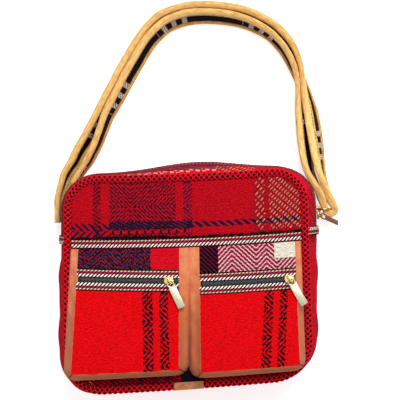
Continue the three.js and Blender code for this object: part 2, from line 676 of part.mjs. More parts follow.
// Woven band between the two bindings
function bandGeometry() {
  const sections = strapFrames().map(({ centre, up, face, share }) => {
    const half = mixWidth(GATHERED_BAND, BAND_WIDTH, share) / 2;
    return [[-half, -1], [half, -1], [half, 1], [-half, 1]].map(([across, side]) =>
      centre.clone().addScaledVector(up, across).addScaledVector(face, side * BAND_THICK / 2).toArray());
  });
  return loft(sections);
}

function addStrap() {
  addPiece('strap_binding_front', bindingGeometry(1), MUSTARD, 0.8);
  addPiece('strap_binding_back', bindingGeometry(-1), MUSTARD, 0.8);
  addPiece('strap_band', bandGeometry(), BLACK, 0.9);
}

// Metal ring, and the sewn tab that holds it to the gusset
function addRing() {
  const { y, wall, hole, centre } = ringPlace();
  const ring = new THREE.TorusGeometry(RING_RADIUS, RING_WIRE / 2, 8, 24);
  ring.rotateX(Math.PI / 2);
  addPiece('strap_ring', ring, BRASS, 0.3, 0.9).position.set(centre, y, RING_Z);
  const inner = RING_WIRE / 2 + RING_TAB_SLACK;
  const outer = inner + RING_TAB_WALL;
  const plan = new THREE.Shape();
  plan.moveTo(wall - hole, -outer);
  plan.lineTo(0, -outer);
  plan.absarc(0, 0, outer, -Math.PI / 2, Math.PI / 2);
  plan.lineTo(wall - hole, outer);
  plan.closePath();
  plan.holes.push(new THREE.Path().absarc(0, 0, inner, 0, 2 * Math.PI));
  const settings = { depth: RING_TAB_WIDTH, bevelEnabled: false, curveSegments: 8 };
  const tab = new THREE.ExtrudeGeometry(plan, settings);
  addPiece('ring_tab', tab, MUSTARD, 0.8).position.set(hole, y, RING_Z - RING_TAB_WIDTH / 2);
}

addBody();
addTopGusset();
addSideTapes();
addFrontTapes();
for (const pocket of [LEFT_POCKET, RIGHT_POCKET]) {
  addPocket(pocket);
  addPocketSlider(pocket);
}
addMainSlider();
addStrap();
addRing();

export default bag;
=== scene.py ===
import math
from collections import namedtuple
from contextlib import contextmanager
from functools import partial
import bpy
import numpy as np
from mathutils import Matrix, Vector


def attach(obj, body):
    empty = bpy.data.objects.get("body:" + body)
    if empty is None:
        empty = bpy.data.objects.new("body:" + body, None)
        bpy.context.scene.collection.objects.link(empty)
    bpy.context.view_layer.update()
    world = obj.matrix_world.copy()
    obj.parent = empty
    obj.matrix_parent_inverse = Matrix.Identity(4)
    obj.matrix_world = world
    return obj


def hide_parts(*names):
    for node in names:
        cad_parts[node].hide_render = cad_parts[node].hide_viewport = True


# A kilim crossbody bag lying on its back: hand-woven wool, suede, zips and a doubled padded strap

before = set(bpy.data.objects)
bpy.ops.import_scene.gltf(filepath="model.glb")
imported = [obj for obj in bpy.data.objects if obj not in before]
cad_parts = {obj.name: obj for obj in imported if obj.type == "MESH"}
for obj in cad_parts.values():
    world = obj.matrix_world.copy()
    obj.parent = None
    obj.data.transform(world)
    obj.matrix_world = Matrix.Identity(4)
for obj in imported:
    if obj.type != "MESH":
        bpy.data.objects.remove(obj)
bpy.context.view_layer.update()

# Sizes of the solids, in millimetres
MM = 0.001
PANEL_WIDTH = 289
PANEL_TOP, PANEL_BOTTOM = 125, 127.5
CORNER_TOP, CORNER_BOTTOM = 41, 46
BODY_DEPTH = 90
PANEL_THICK = 3
FRONT_CROWN = 5
GUSSET_THICK = 2.4
GUSSET_TUCK = 2
BULGE_LEFT, BULGE_RIGHT, BULGE_TOP, BULGE_BOTTOM = 7, 13, 4, 4
DOME_RISE, DOME_WIDTH, DOME_X = 12, 70, 15
GUSSET_JOINT_Y = 49
SIDE_TAPE_WIDTH = 10
EDGING_WIDTH, EDGING_HEIGHT = 9, 7
REAR_EDGING_LIFT = 0.5
SEAM_GAP = 0.3
MAIN_ZIP_Z = 52
ZIP_GAP = 7
ZIP_TAPE_THICK = 0.9
TWILL_WIDTH, TWILL_THICK = 9, 1.6
COIL_WIDTH, COIL_HEIGHT = 5.6, 2.4
TILT, TILT_BOW, TILT_LOW, LEAN_RIGHT = 0.025, 0.023, 0.045, 0.033
TILT_HIGH, TILT_HIGH_BOW = 0.011, 0.0235
TAPE_TOP_Y, TAPE_WIDTH = 50, 11
POCKET_RISE_TOP, POCKET_RISE_BOTTOM = 4, 22
WALL_THICK, WALL_CORNER, WALL_SPREAD_BOTTOM = 2, 6, 8
CLOTH_THICK = 2
POCKETS = {
    "left": dict(x_left=-126.5, x_right=-8.5, length=141, flare_left=8.5, flare_right=-2,
                 spread_left=9.5, spread_right=11.9, zip_tilt=-0.03, strip=24),
    "right": dict(x_left=15, x_right=127, length=146, flare_left=1, flare_right=1,
                  spread_left=13.1, spread_right=7.5, zip_tilt=0, strip=30.5),
}
BINDING_WIDTH, BINDING_THICK = 12, 6.4
BAND_WIDTH, BAND_THICK = 13, 2.6
RING_RADIUS, RING_WIRE, RING_Y, RING_Z, TURN_RADIUS = 8.5, 2.8, 74, 27, 6
TAB_WIDTH, TAB_SLACK, TAB_WALL = 7, 1, 2.2

# Strap route seen from above: x, y, height of its middle, lean in degrees, share of its full width
STRAP_OUTER = [
    (-155, 67, 26, 0, 1), (-155.5, 82, 25, 0, 1), (-155, 95, 24, 4, 1), (-151, 111, 23, 7, 1),
    (-146, 126, 22, 10, 1), (-137, 140, 21, 13, 1), (-130, 154, 21, 14, 1), (-120, 171, 20, 14, 1),
    (-104, 200, 20, 14, 1), (-92, 223, 20, 14, 1), (-80, 246, 20, 14, 1), (-68, 267, 20, 14, 1),
    (-55, 288, 20, 14, 1), (-43, 303, 20, 14, 1), (-30, 314, 20, 14, 1), (-8, 322, 20, 14, 1),
    (15, 325, 20, 14, 1), (47, 323, 20, 14, 1), (73, 317, 20, 14, 1), (99, 304, 20, 14, 1),
    (113, 292, 20, 13, 1), (125, 277, 20, 10, 1), (133.5, 258, 20, 6, 1), (139.5, 237, 20, -4, 1),
    (143.5, 218, 20, -12, 1), (147, 202, 20, -17, 1), (150, 184, 21, -19, 1), (153, 166, 21, -18, 1),
    (156, 148, 22, -15, 1), (159, 132, 23, -10, 0.95), (163, 116, 25, -5, 0.8), (169, 100, 26, 0, 0.4),
]
STRAP_INNER = [
    (159.5, 100, 26, 0, 0.4), (153, 113, 25, 4, 0.8), (145, 131, 23, 10, 0.95), (141.5, 152, 22, 15, 1),
    (139.5, 172, 21, 17, 1), (138, 188, 20, 16, 1), (136.5, 202, 20, 14, 1), (135, 219, 20, 9, 1),
    (132.3, 236, 20, 2, 1), (127, 254, 20, -4, 1), (118, 272, 20, -6, 1), (107, 286, 20, -7, 1),
    (94, 297, 20, -8, 1), (71, 308.5, 20, -10, 1), (46, 314.5, 20, -12, 1), (15, 316.5, 20, -13, 1),
    (-6, 313.5, 20, -14, 1), (-24, 306.5, 20, -14, 1), (-37, 296, 20, -14, 1), (-49, 282, 20, -14, 1),
    (-61, 262, 20, -14, 1), (-73, 241, 20, -14, 1), (-85, 218, 20, -13, 1), (-96, 197, 20, -11, 1),
    (-103, 178, 20, -9, 1), (-109, 162, 20, -8, 1), (-114, 151, 21, -7, 1), (-120, 140, 22, -6, 1),
    (-137, 113, 23, 0, 1),
]

HALF_WIDTH = PANEL_WIDTH / 2
GUSSET_BACK = REAR_EDGING_LIFT + EDGING_HEIGHT + SEAM_GAP
GUSSET_FRONT = BODY_DEPTH - EDGING_HEIGHT - SEAM_GAP
GUSSET_MIDDLE = (GUSSET_BACK + GUSSET_FRONT) / 2
GUSSET_HALF = (GUSSET_FRONT - GUSSET_BACK) / 2
PANEL_INSET = EDGING_WIDTH + SEAM_GAP
FRONT_RIM_Z = BODY_DEPTH - EDGING_HEIGHT / 2 + PANEL_THICK / 2
POCKET_TOP_Y = TAPE_TOP_Y - TAPE_WIDTH - SEAM_GAP
POCKET_BASE_Z = FRONT_RIM_Z + FRONT_CROWN


# The bag's own shape

def slump(x, y):
    """Plan of the straight bag to the plan of the slumped one."""
    right = x / PANEL_WIDTH + 0.5
    low = np.maximum(0, -y) / PANEL_BOTTOM
    tilt = TILT + TILT_LOW * low + TILT_HIGH * (1 - low)
    bow = TILT_BOW + TILT_HIGH_BOW * (1 - low)
    return x - LEAN_RIGHT * y * right, y + x * tilt + bow * x * x / PANEL_WIDTH


def stand_off(x, y, nx, ny, out):
    """Slumped plan of a point that stands out from the bag's outline along its normal."""
    return slump(x + nx * out, y + ny * out)


def front_height(x, y):
    u = x / HALF_WIDTH
    v = y / np.where(y > 0, PANEL_TOP, PANEL_BOTTOM)
    return FRONT_RIM_Z + FRONT_CROWN * np.maximum(0, 1 - u * u) * np.maximum(0, 1 - v * v)


def gusset_offset(x, nx, ny, z):
    across = np.where(nx > 0, BULGE_RIGHT, BULGE_LEFT)
    along = np.where(ny > 0, BULGE_TOP, BULGE_BOTTOM)
    dome = DOME_RISE * np.maximum(0, ny) * np.exp(-(((x - DOME_X) / DOME_WIDTH) ** 2))
    height = (z - GUSSET_MIDDLE) / GUSSET_HALF
    return (across * nx * nx + along * ny * ny + dome) * (1 - height * height) - GUSSET_TUCK


def pocket_height(pocket, y):
    share = (POCKET_TOP_Y - y) / pocket["length"]
    return POCKET_BASE_Z + POCKET_RISE_TOP + (POCKET_RISE_BOTTOM - POCKET_RISE_TOP) * share


def pocket_edges(pocket, y):
    """The left and right edges of a pocket's face at a height y."""
    share = (POCKET_TOP_Y - y) / pocket["length"]
    return pocket["x_left"] - pocket["flare_left"] * share, pocket["x_right"] + pocket["flare_right"] * share


def pocket_line(pocket, down, x):
    middle = (pocket["x_left"] + pocket["x_right"]) / 2
    return POCKET_TOP_Y - down + pocket["zip_tilt"] * (x - middle)


def ripple(x, y, scale):
    """A soft unevenness of hand-sewn cloth, between -1 and 1, the same on every run."""
    a, b = x / scale, y / scale
    return (np.sin(a * 1.7 + 0.6 * np.sin(b * 1.3) + 0.4) * np.cos(b * 1.1 + 0.5 * np.sin(a * 0.9))
            + 0.5 * np.sin(a * 3.1 - b * 2.3 + 1.2)) / 1.5


def corner_arc(cx, cy, radius, start, step):
    count = max(4, round(radius * math.pi / 2 / step))
    angle = start + math.pi / 2 * np.arange(count) / count
    nx, ny = np.cos(angle), np.sin(angle)
    return np.stack([cx + radius * nx, cy + radius * ny, nx, ny], 1)


def straight(x0, y0, x1, y1, nx, ny, step):
    count = max(2, round(math.hypot(x1 - x0, y1 - y0) / step))
    f = np.arange(count) / count
    return np.stack([x0 + (x1 - x0) * f, y0 + (y1 - y0) * f, 0 * f + nx, 0 * f + ny], 1)


def arch(joint, top, corner, step):
    """Outline from the joint on the right over the top to the left one: x, y and outward normal."""
    x, y = HALF_WIDTH - corner, top - corner
    return np.concatenate([
        straight(HALF_WIDTH, joint, HALF_WIDTH, y, 1, 0, step),
        corner_arc(x, y, corner, 0, step),
        straight(x, top, -x, top, 0, 1, step),
        corner_arc(-x, y, corner, math.pi / 2, step),
        straight(-HALF_WIDTH, y, -HALF_WIDTH, joint, -1, 0, step),
        np.array([[-HALF_WIDTH, joint, -1, 0]])])


def upper_rim(step):
    return arch(GUSSET_JOINT_Y + SEAM_GAP, PANEL_TOP, CORNER_TOP, step)


def lower_rim(step):
    """An arch turned half round: from the left joint round the bottom to the right one."""
    return -arch(-GUSSET_JOINT_Y, PANEL_BOTTOM, CORNER_BOTTOM, step)


def rim_run(rim):
    """Length run along a rim up to each of its points, in millimetres."""
    return np.concatenate([[0], np.cumsum(np.hypot(*np.diff(rim[:, :2], axis=0).T))])


def along_rim(rim, share):
    """Place and outward normal at shares of a rim's length."""
    run = rim_run(rim)
    x, y, nx, ny = (np.interp(share * run[-1], run, rim[:, k]) for k in range(4))
    size = np.hypot(nx, ny)
    return x, y, nx / size, ny / size


# Modelling helpers

# Faces that meet at a sharper angle than this keep a hard edge
SMOOTH_ANGLE = math.radians(50)
WELD = 1e-6


@contextmanager
def editing(action="SELECT"):
    """Edit mode on the active piece, with all of it selected or none."""
    bpy.ops.object.mode_set(mode="EDIT")
    bpy.ops.mesh.select_all(action=action)
    yield
    bpy.ops.object.mode_set(mode="OBJECT")


def dress(piece, body, slot, *nodes):
    """Attach a piece to the body that it rides on and hide the nodes that it stands for. The slot is not
    used.
    """
    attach(piece, body)
    if nodes:
        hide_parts(*nodes)


def finish_mesh(piece, material):
    """Weld, turn the faces out, shade smooth and give the material."""
    with editing():
        bpy.ops.mesh.remove_doubles(threshold=WELD)
        bpy.ops.mesh.normals_make_consistent(inside=False)
    bpy.ops.object.shade_smooth_by_angle(angle=SMOOTH_ANGLE)
    piece.data.materials.clear()
    piece.data.materials.append(material)
    return piece


def grid_piece(name, columns, rows, place, pattern, material, thickness=0.0):
    """A grid laid where place(u, v) says, with pattern(u, v) as its UV, both in millimetres."""
    bpy.ops.mesh.primitive_grid_add(x_subdivisions=columns, y_subdivisions=rows, size=2, calc_uvs=True)
    piece = bpy.context.object
    piece.name = piece.data.name = name
    mesh = piece.data
    flat = np.empty(len(mesh.vertices) * 3)
    mesh.vertices.foreach_get("co", flat)
    u, v = (flat[0::3] + 1) / 2, (flat[1::3] + 1) / 2
    x, y, z = place(u, v)
    mesh.vertices.foreach_set("co", np.stack([x, y, z + 0 * x], 1).ravel() * MM)
    corner = np.empty(len(mesh.loops), dtype=int)
    mesh.loops.foreach_get("vertex_index", corner)
    s, t = pattern(u, v)
    mesh.uv_layers[0].data.foreach_set("uv", np.stack([s[corner], t[corner]], 1).ravel() * MM)
    mesh.update()
    if thickness:
        bpy.ops.object.modifier_add(type="SOLIDIFY")
        solidify = piece.modifiers[-1]
        solidify.thickness = thickness * MM
        solidify.offset = -1
        solidify.use_even_offset = True
        bpy.ops.object.modifier_apply(modifier=solidify.name)
    return finish_mesh(piece, material)


def cloth_piece(name, cells, place, pattern, material, thick, slot, kind="cloth"):
    """Cloth on the bag in place of a node."""
    piece = grid_piece(f"{name}_{kind}", *cells, place, pattern, material, thick)
    dress(piece, "bag", slot, name)


def tubes(name, rings, material):
    """Many short closed tubes: rings[tube, station, side] is a point of a section, in millimetres."""
    count, steps, sides, _ = rings.shape
    faces = []
    for first in range(0, count * steps * sides, steps * sides):
        last = first + (steps - 1) * sides
        for base in range(first, last, sides):
            for k in range(sides):
                n = (k + 1) % sides
                faces.append((base + k, base + n, base + sides + n, base + sides + k))
        faces += [tuple(end + k for k in range(sides)) for end in (first, last)]
    mesh = bpy.data.meshes.new(name)
    mesh.from_pydata([tuple(point) for point in rings.reshape(-1, 3) * MM], [], faces)
    piece = bpy.data.objects.new(name, mesh)
    bpy.context.collection.objects.link(piece)
    bpy.ops.object.select_all(action="DESELECT")
    bpy.context.view_layer.objects.active = piece
    piece.select_set(True)
    return finish_mesh(piece, material)


TUBE_SIDES = 6
TUBE_ANGLES = 2 * math.pi * np.arange(TUBE_SIDES) / TUBE_SIDES
# A direction that no rod runs along, to turn its section from
OFF_AXIS = np.array([0.31, 0.17, 0.93])


def rods(name, starts, ends, radius, material):
    """Many short round rods, such as the turns of a zip coil."""
    axis = ends - starts
    axis = axis / np.linalg.norm(axis, axis=1)[:, None]
    side = np.cross(axis, OFF_AXIS)
    side = side / np.linalg.norm(side, axis=1)[:, None]
    over = np.cross(axis, side)
    section = np.stack([radius * (side * math.cos(a) + over * math.sin(a)) for a in TUBE_ANGLES], 1)
    return tubes(name, np.stack([starts[:, None] + section, ends[:, None] + section], 1), material)


# Materials

IN_MM = (1000, 1000, 1000)
# Millimetres that the ramps of a kilim and of a tape run over, and round a binding
SPAN, TAPE_SPAN, BINDING_ROUND = 360, 20, 40
START = -SPAN / 2
RISING = [(START, 0), (-START, SPAN)]
# A noise's scale counts its patches in a millimetre: at 0.35 they are about 3 mm wide, at 0.9 about 1 mm.
# Its values keep mostly between these two
NOISE_RANGE = 0.3, 0.7
# What brings a noise, less its middle, to a swing of about one each way
FULL_SWING = 4
# Height of a weft thread for the width of a warp thread, and how far each line of a layer is staggered
WEFT, STAGGER = 0.8, 0.57
# Cloth hardly shines, and a metal keeps the usual value
CLOTH_SPECULAR, METAL_SPECULAR = 0.05, 0.5
# Painted shade darkens the suede from the upper of these heights on the bag to the lower, by this share at
# most
PAINTED_SHADE_LOW, PAINTED_SHADE_HIGH, PAINTED_SHADE_MOST = -60, 10, 0.8
# Scuffs make a metal smoother or rougher by up to these
SCUFF_SMOOTHER, SCUFF_ROUGHER = 0.07, 0.1


def colour(text):
    """A colour written as sRGB hex, as the linear value that a shader takes."""
    parts = [int(text[i:i + 2], 16) / 255 for i in (0, 2, 4)]
    return tuple(c / 12.92 if c <= 0.04045 else ((c + 0.055) / 1.055) ** 2.4 for c in parts) + (1,)


def fill_ramp(ramp, stops):
    """Stops of a ramp: colours in hex change at once, and plain numbers blend."""
    ramp.interpolation = "CONSTANT" if isinstance(stops[0][1], str) else "LINEAR"
    while len(ramp.elements) > 1:
        ramp.elements.remove(ramp.elements[-1])
    while len(ramp.elements) < len(stops):
        ramp.elements.new(1.0)
    for element, (place, value) in zip(ramp.elements, stops):
        element.position = place
        element.color = colour(value) if isinstance(value, str) else (value, value, value, 1)


def add_node(tree, kind, *values, stops=None, **settings):
    """Add one node: values are its inputs in order, each a node, a socket or a constant.

    A kind in capitals is an operation of a Math node. Settings are properties, and stops fill a ramp.
    """
    if kind.isupper():
        kind, settings = "Math", dict(settings, operation=kind)
    node = tree.nodes.new("ShaderNode" + kind)
    for key, value in settings.items():
        setattr(node, key, value)
    for socket, value in zip(node.inputs, values):
        if isinstance(value, bpy.types.Node):
            value = value.outputs[0]
        if isinstance(value, bpy.types.NodeSocket):
            tree.links.new(value, socket)
        elif value is not None:
            socket.default_value = value
    if stops:
        fill_ramp(node.color_ramp, stops)
    return node


def new_material(name, roughness, metallic=0.0, sheen=0.0):
    """A material, the helper that adds nodes to it, and its shader."""
    material = bpy.data.materials.new(name)
    material.use_nodes = True
    shader = material.node_tree.nodes["Principled BSDF"]
    shader.inputs["Roughness"].default_value = roughness
    shader.inputs["Metallic"].default_value = metallic
    shader.inputs["Sheen Weight"].default_value = sheen
    shader.inputs["Specular IOR Level"].default_value = METAL_SPECULAR if metallic else CLOTH_SPECULAR
    return material, partial(add_node, material.node_tree), shader


def feed(node, name, source):
    """Lead a source's first output into a named input of a node, and give that node back."""
    node.id_data.links.new(source.outputs[0], node.inputs[name])
    return node


def millimetres(add):
    """The piece's UV, which runs in metres, as a place, u and v in millimetres."""
    place = add("VectorMath", add("UVMap"), IN_MM, operation="MULTIPLY")
    split = add("SeparateXYZ", place)
    return place, split.outputs[0], split.outputs[1]


def object_millimetres(add):
    return add("VectorMath", add("TexCoord").outputs["Object"], IN_MM, operation="MULTIPLY")


def turns(add, value, pitch):
    """How far a value is through its present turn, from 0 to 1."""
    return add("FRACT", add("DIVIDE", value, pitch))


def rib(add, value, width):
    """Rows of round ribs, each of a width, from -1 to 1."""
    return add("SINE", add("MULTIPLY", value, math.pi / width))


def spread(stops):
    """Places in millimetres as places on a ramp over the whole cloth."""
    return [((place - START) / SPAN, value) for place, value in stops]


# One colour painted inside a box of x and y, along leaning lines of a pitch and a share of it, which are cut
# into lengths by a second pitch and share. A share of 2 leaves no gaps
Layer = namedtuple("Layer", "left right low high tint pitch share lean cut_pitch cut_share",
                   defaults=(9, 2, 0, 9, 2))


def layer_mask(add, layer, column, row, leaning, v):
    """Where a layer shows: inside its box, on its lines and between their cuts."""
    wide = add("COMPARE", column, (layer.left + layer.right) / 2, (layer.right - layer.left) / 2)
    tall = add("COMPARE", row, (layer.low + layer.high) / 2, (layer.high - layer.low) / 2)
    count = add("DIVIDE", add("MULTIPLY_ADD", leaning, layer.lean, v), layer.pitch)
    lines = add("LESS_THAN", add("FRACT", count), layer.share)
    staggered = add("MULTIPLY_ADD", add("FLOOR", count), STAGGER * layer.cut_pitch, leaning)
    cuts = add("LESS_THAN", turns(add, staggered, layer.cut_pitch), layer.cut_share)
    return add("MULTIPLY", add("MULTIPLY", wide, tall), add("MULTIPLY", lines, cuts))


def kilim(name, pitch, ground, stroke=None, chevron=RISING, duty=0.5, layers=(), ragged=1.2, thread=1.5,
          fold=(-900, 5000), skew=0.0, broken=0.15, speckle=0.25):
    """Hand-woven wool: two sets of warp stripes over u, mixed by diagonal strokes that follow a chevron line.

    The strokes turn back at the height fold[0], and again every fold[1]. Skew leans the stripes, broken frays
    the strokes, and speckle is the unevenness of the yarn's tone. Threads of the real cloth are about 1 mm
    wide, and most are drawn 1.5 mm wide here, so that they still show.
    """
    material, add, shader = new_material(name, 0.9)
    place, u, v = millimetres(add)
    drift = add("TexNoise", place, None, 0.35, 2.0)
    wander = add("MULTIPLY", add("SUBTRACT", drift, 0.5), ragged * FULL_SWING)
    # Whole threads, so that every edge steps as woven edges do
    leaning = add("MULTIPLY_ADD", v, -skew, u)
    column = add("SNAP", add("ADD", leaning, wander), thread)
    row = add("SNAP", v, thread * WEFT)
    across = add("MapRange", column, START, -START)
    line = add("ValToRGB", across, stops=spread([(x, height / SPAN) for x, height in chevron]))
    turned = add("PINGPONG", add("SUBTRACT", row, fold[0]), fold[1])
    phase = turns(add, add("MULTIPLY_ADD", line, SPAN, turned), pitch)
    fray = add("MULTIPLY_ADD", add("TexNoise", place, None, 0.45, 2.0), 2 * broken, phase)
    mark = add("LESS_THAN", fray, duty + broken)
    stripes = [add("ValToRGB", across, stops=spread(stops)) for stops in (ground, stroke or ground)]
    cloth = add("MixRGB", mark, *stripes)
    ragged_row = add("ADD", row, wander)
    for layer in layers:
        mask = layer_mask(add, Layer(*layer), column, ragged_row, leaning, v)
        cloth = add("MixRGB", mask, cloth, colour(Layer(*layer).tint))
    # Uneven dye along each weft thread, and the ribs of the threads themselves
    streak = add("VectorMath", place, (0.2, 0.8, 1), operation="MULTIPLY")
    dye = add("MapRange", add("TexNoise", streak, None, 1.0, 3.0), *NOISE_RANGE, 0.72, 1.28)
    grain = add("TexNoise", place, None, 0.6, 3.0)
    shade = add("MULTIPLY", dye, add("MapRange", grain, *NOISE_RANGE, 1 - speckle, 1 + speckle))
    feed(shader, "Base Color", add("VectorMath", cloth, shade, operation="MULTIPLY"))
    threads = add("ADD", add("ABSOLUTE", rib(add, v, thread * WEFT)), grain)
    relief = add("MULTIPLY_ADD", mark, 0.5, threads)
    feed(shader, "Normal", feed(add("Bump", 1.0, 0.5 * MM), "Height", relief))
    return material


def twill_tape(name, rows, pitch=4.3):
    """Striped trimming tape: rows over v, each a pair of colours laid as slanted dashes along u."""
    material, add, shader = new_material(name, 0.85)
    place, u, v = millimetres(add)
    across = add("MapRange", v, 0, TAPE_SPAN)
    pair = [add("ValToRGB", across, stops=[(row[0] / TAPE_SPAN, row[k]) for row in rows]) for k in (1, 2)]
    phase = turns(add, add("ADD", v, u), pitch)
    mixed = add("MixRGB", add("LESS_THAN", phase, 0.5), *pair)
    fuzz = add("MapRange", add("TexNoise", place, None, 1.3, 2.0), *NOISE_RANGE, 0.8, 1.12)
    feed(shader, "Base Color", add("VectorMath", mixed, fuzz, operation="MULTIPLY"))
    feed(shader, "Normal", feed(add("Bump", 1.0, 0.35 * MM), "Height", rib(add, phase, 0.5)))
    return material


def suede(name, light, dark, scale, depth, painted_shade=None):
    """Brushed leather: a soft nap in two close tones with a fine grain, and painted shade low on the bag if a
    shaded tone is given.
    """
    material, add, shader = new_material(name, 0.9, sheen=0.08)
    spot = object_millimetres(add)
    nap = add("TexNoise", spot, None, scale, 4.0)
    tone = add("MixRGB", add("MapRange", nap, *NOISE_RANGE), colour(dark), colour(light))
    if painted_shade:
        # Painted shade: the tone blends into a darker one towards the bottom of the bag
        height = add("SeparateXYZ", spot).outputs["Y"]
        low = add("MapRange", height, PAINTED_SHADE_LOW, PAINTED_SHADE_HIGH, PAINTED_SHADE_MOST, 0)
        tone = add("MixRGB", low, tone, colour(painted_shade))
    feed(shader, "Base Color", tone)
    grain = add("TexNoise", spot, None, 0.9, 3.0)
    feed(shader, "Normal", feed(add("Bump", 1.0, depth * MM), "Height", grain))
    return material


# Painted highlight and shade round a binding, from its outer edge to the seam at the band, as shares of the
# way round: pale on its sides, darker at its outer edge and darkest at the seam
BINDING_LIGHT_AND_SHADE = [(0, 0.5), (0.1, 0.75), (0.22, 1), (0.34, 0.7), (0.44, 0.25), (0.5, 0)]
STITCH_PLACE, STITCH_HALF, STITCH_PITCH, STITCH_SHARE = 0.17, 0.014, 4.2, 0.7


def binding_suede(name, light, dark, thread):
    """Padded suede binding with a painted highlight on its sides and painted shade at its outer edge and
    where it is sewn to the band, with rows of stitches.

    u runs round the binding from its outer edge and v along the strap.
    """
    material, add, shader = new_material(name, 0.85, sheen=0.08)
    place, u, v = millimetres(add)
    around = add("DIVIDE", u, BINDING_ROUND)
    back_again = [(1 - at, pale) for at, pale in BINDING_LIGHT_AND_SHADE[-2::-1]]
    # Painted highlight and shade round the binding, blended with the nap between the shaded and the lit tone
    painted_light = add("ValToRGB", around, stops=BINDING_LIGHT_AND_SHADE + back_again)
    stretched = add("VectorMath", place, (0.5, 0.22, 1), operation="MULTIPLY")
    nap = add("MapRange", add("TexNoise", stretched, None, 0.5, 4.0), *NOISE_RANGE, -0.35, 0.3)
    tone = add("MixRGB", add("ADD", painted_light, nap, use_clamp=True), colour(dark), colour(light))
    from_seam = add("ABSOLUTE", add("SUBTRACT", around, 0.5))
    row = add("COMPARE", from_seam, STITCH_PLACE, STITCH_HALF)
    stitch = add("LESS_THAN", turns(add, v, STITCH_PITCH), STITCH_SHARE)
    feed(shader, "Base Color", add("MixRGB", add("MULTIPLY", row, stitch), tone, colour(thread)))
    relief = add("MULTIPLY_ADD", row, -1.0, add("TexNoise", place, None, 0.9, 3.0))
    feed(shader, "Normal", feed(add("Bump", 1.0, 0.3 * MM), "Height", relief))
    return material


def plain_yarn(name, shade_a, shade_b):
    """Plain yarn of wool, thread or nylon, or tape woven of it, with the faint unevenness of its twist."""
    material, add, shader = new_material(name, 0.9)
    nap = add("TexNoise", object_millimetres(add), None, 0.8, 2.0)
    tone = add("MixRGB", add("MapRange", nap, *NOISE_RANGE), colour(shade_a), colour(shade_b))
    feed(shader, "Base Color", tone)
    feed(shader, "Normal", feed(add("Bump", 1.0, 0.3 * MM), "Height", nap))
    return material


def metal(name, tint, roughness):
    """Plated metal with light handling scuffs."""
    material, add, shader = new_material(name, roughness, metallic=1.0)
    shader.inputs["Base Color"].default_value = colour(tint)
    scuff = add("TexNoise", object_millimetres(add), None, 0.7, 3.0)
    smoother, rougher = roughness - SCUFF_SMOOTHER, roughness + SCUFF_ROUGHER
    feed(shader, "Roughness", add("MapRange", scuff, *NOISE_RANGE, smoother, rougher))
    return material


MOTIF_GROUP, MOTIF_STEP, GROUP_SHARE, MOTIF_SHARE = 112, 14, 0.38, 0.45
# The motifs' slanted dashes: half their pitch, and how much of it is pale
DASH_HALF, DASH_PALE = 2.2, 1.2


def woven_band(name, ground, motif):
    """Strap webbing with small pale motifs in groups of three: u across the band, v along it."""
    material, add, shader = new_material(name, 0.85)
    _, u, v = millimetres(add)
    group = add("LESS_THAN", turns(add, v, MOTIF_GROUP), GROUP_SHARE)
    near = add("LESS_THAN", turns(add, v, MOTIF_STEP), MOTIF_SHARE)
    dash = add("LESS_THAN", add("PINGPONG", add("ADD", u, v), DASH_HALF), DASH_PALE)
    shown = add("MULTIPLY", add("MULTIPLY", near, dash), group)
    feed(shader, "Base Color", add("MixRGB", shown, colour(ground), colour(motif)))
    feed(shader, "Normal", feed(add("Bump", 1.0, 0.3 * MM), "Height", rib(add, v, 1.4)))
    return material


# Colours of the yarns
RED, DEEP_RED, DULL_RED, BRIGHT_RED = "bc0b1b", "bc0c20", "a80d1e", "e80710"
NAVY, INK, CREAM, MAROON = "1b1530", "120d14", "fff6e2", "ac183e"
PLUM, TARNISH = "2c1020", "c0ac82"
STRIP_RED, GUSSET_RED, TOP_RED = "d80c20", "c80c1e", "dc0e22"
WINE, ROSE, STRAW, BARK = "2c0c18", "b4244c", "e6d2ac", "6e5240"
CLARET, DARK_CLARET, DARK_ROSE = "8c1230", "4a0c1e", "6a1428"

# Stripes start at an x in millimetres. Upper panel: red ends, dark zigzags, a herringbone field, pale dashes
PANEL_CLOTH = kilim(
    "kilim panel wool", 4.6, duty=0.46, fold=(87, 5000), broken=0.32, speckle=0.45,
    ground=[(START, RED), (-92, DEEP_RED), (-14, RED), (78, DULL_RED)],
    stroke=[(START, RED), (-111, PLUM), (-102, RED), (-92, PLUM), (-14, RED), (-5, NAVY), (6, RED),
            (78, DULL_RED)],
    chevron=[(START, 0), (-111, 8), (-102, 0), (-92, 30), (-66, 56), (-14, 4), (-5, 10), (6, 0)],
    layers=[
        (-92, 6, 61.3, 70, NAVY, 4.0, 0.85, 0.5),
        (6, 145, 61.5, 68, NAVY, 7.5, 0.6, 0.8),
        (-145, -92, 59, 68, NAVY, 8, 0.45, 1.0),
        (-145, -92, 50, 59, NAVY, 8, 0.45, -1.0),
        (-92, 6, 54.6, 61.3, "320c18"),
        (-104, -20, 49, 52.8, INK),
        (-92, 6, 55.4, 60.2, DEEP_RED, 60, 2, 0, 9.4, 0.68),
        (-145, 145, 49, 51.6, INK),
        # Painted shade, partly darker weave: a dark red band low on the panel, in the recess between the
        # pockets' feet and the edging
        (-145, 145, -130, -98, "4a0c16", 4.0, 0.5, 0.6),
        # Painted shadow, partly black weave: the hollow between the two pockets' feet
        (-10, 18, -122, -94, INK),
        (-130, -109, -124, -98, TARNISH, 6.5, 0.24, 1.0, 5.2, 0.6),
        (82, 92, 55, 116, TARNISH, 6.5, 0.2, -1.0, 5.2, 0.6),
        (98, 137, 55, 118, TARNISH, 5.2, 0.23, -1.0, 4.8, 0.6),
    ])
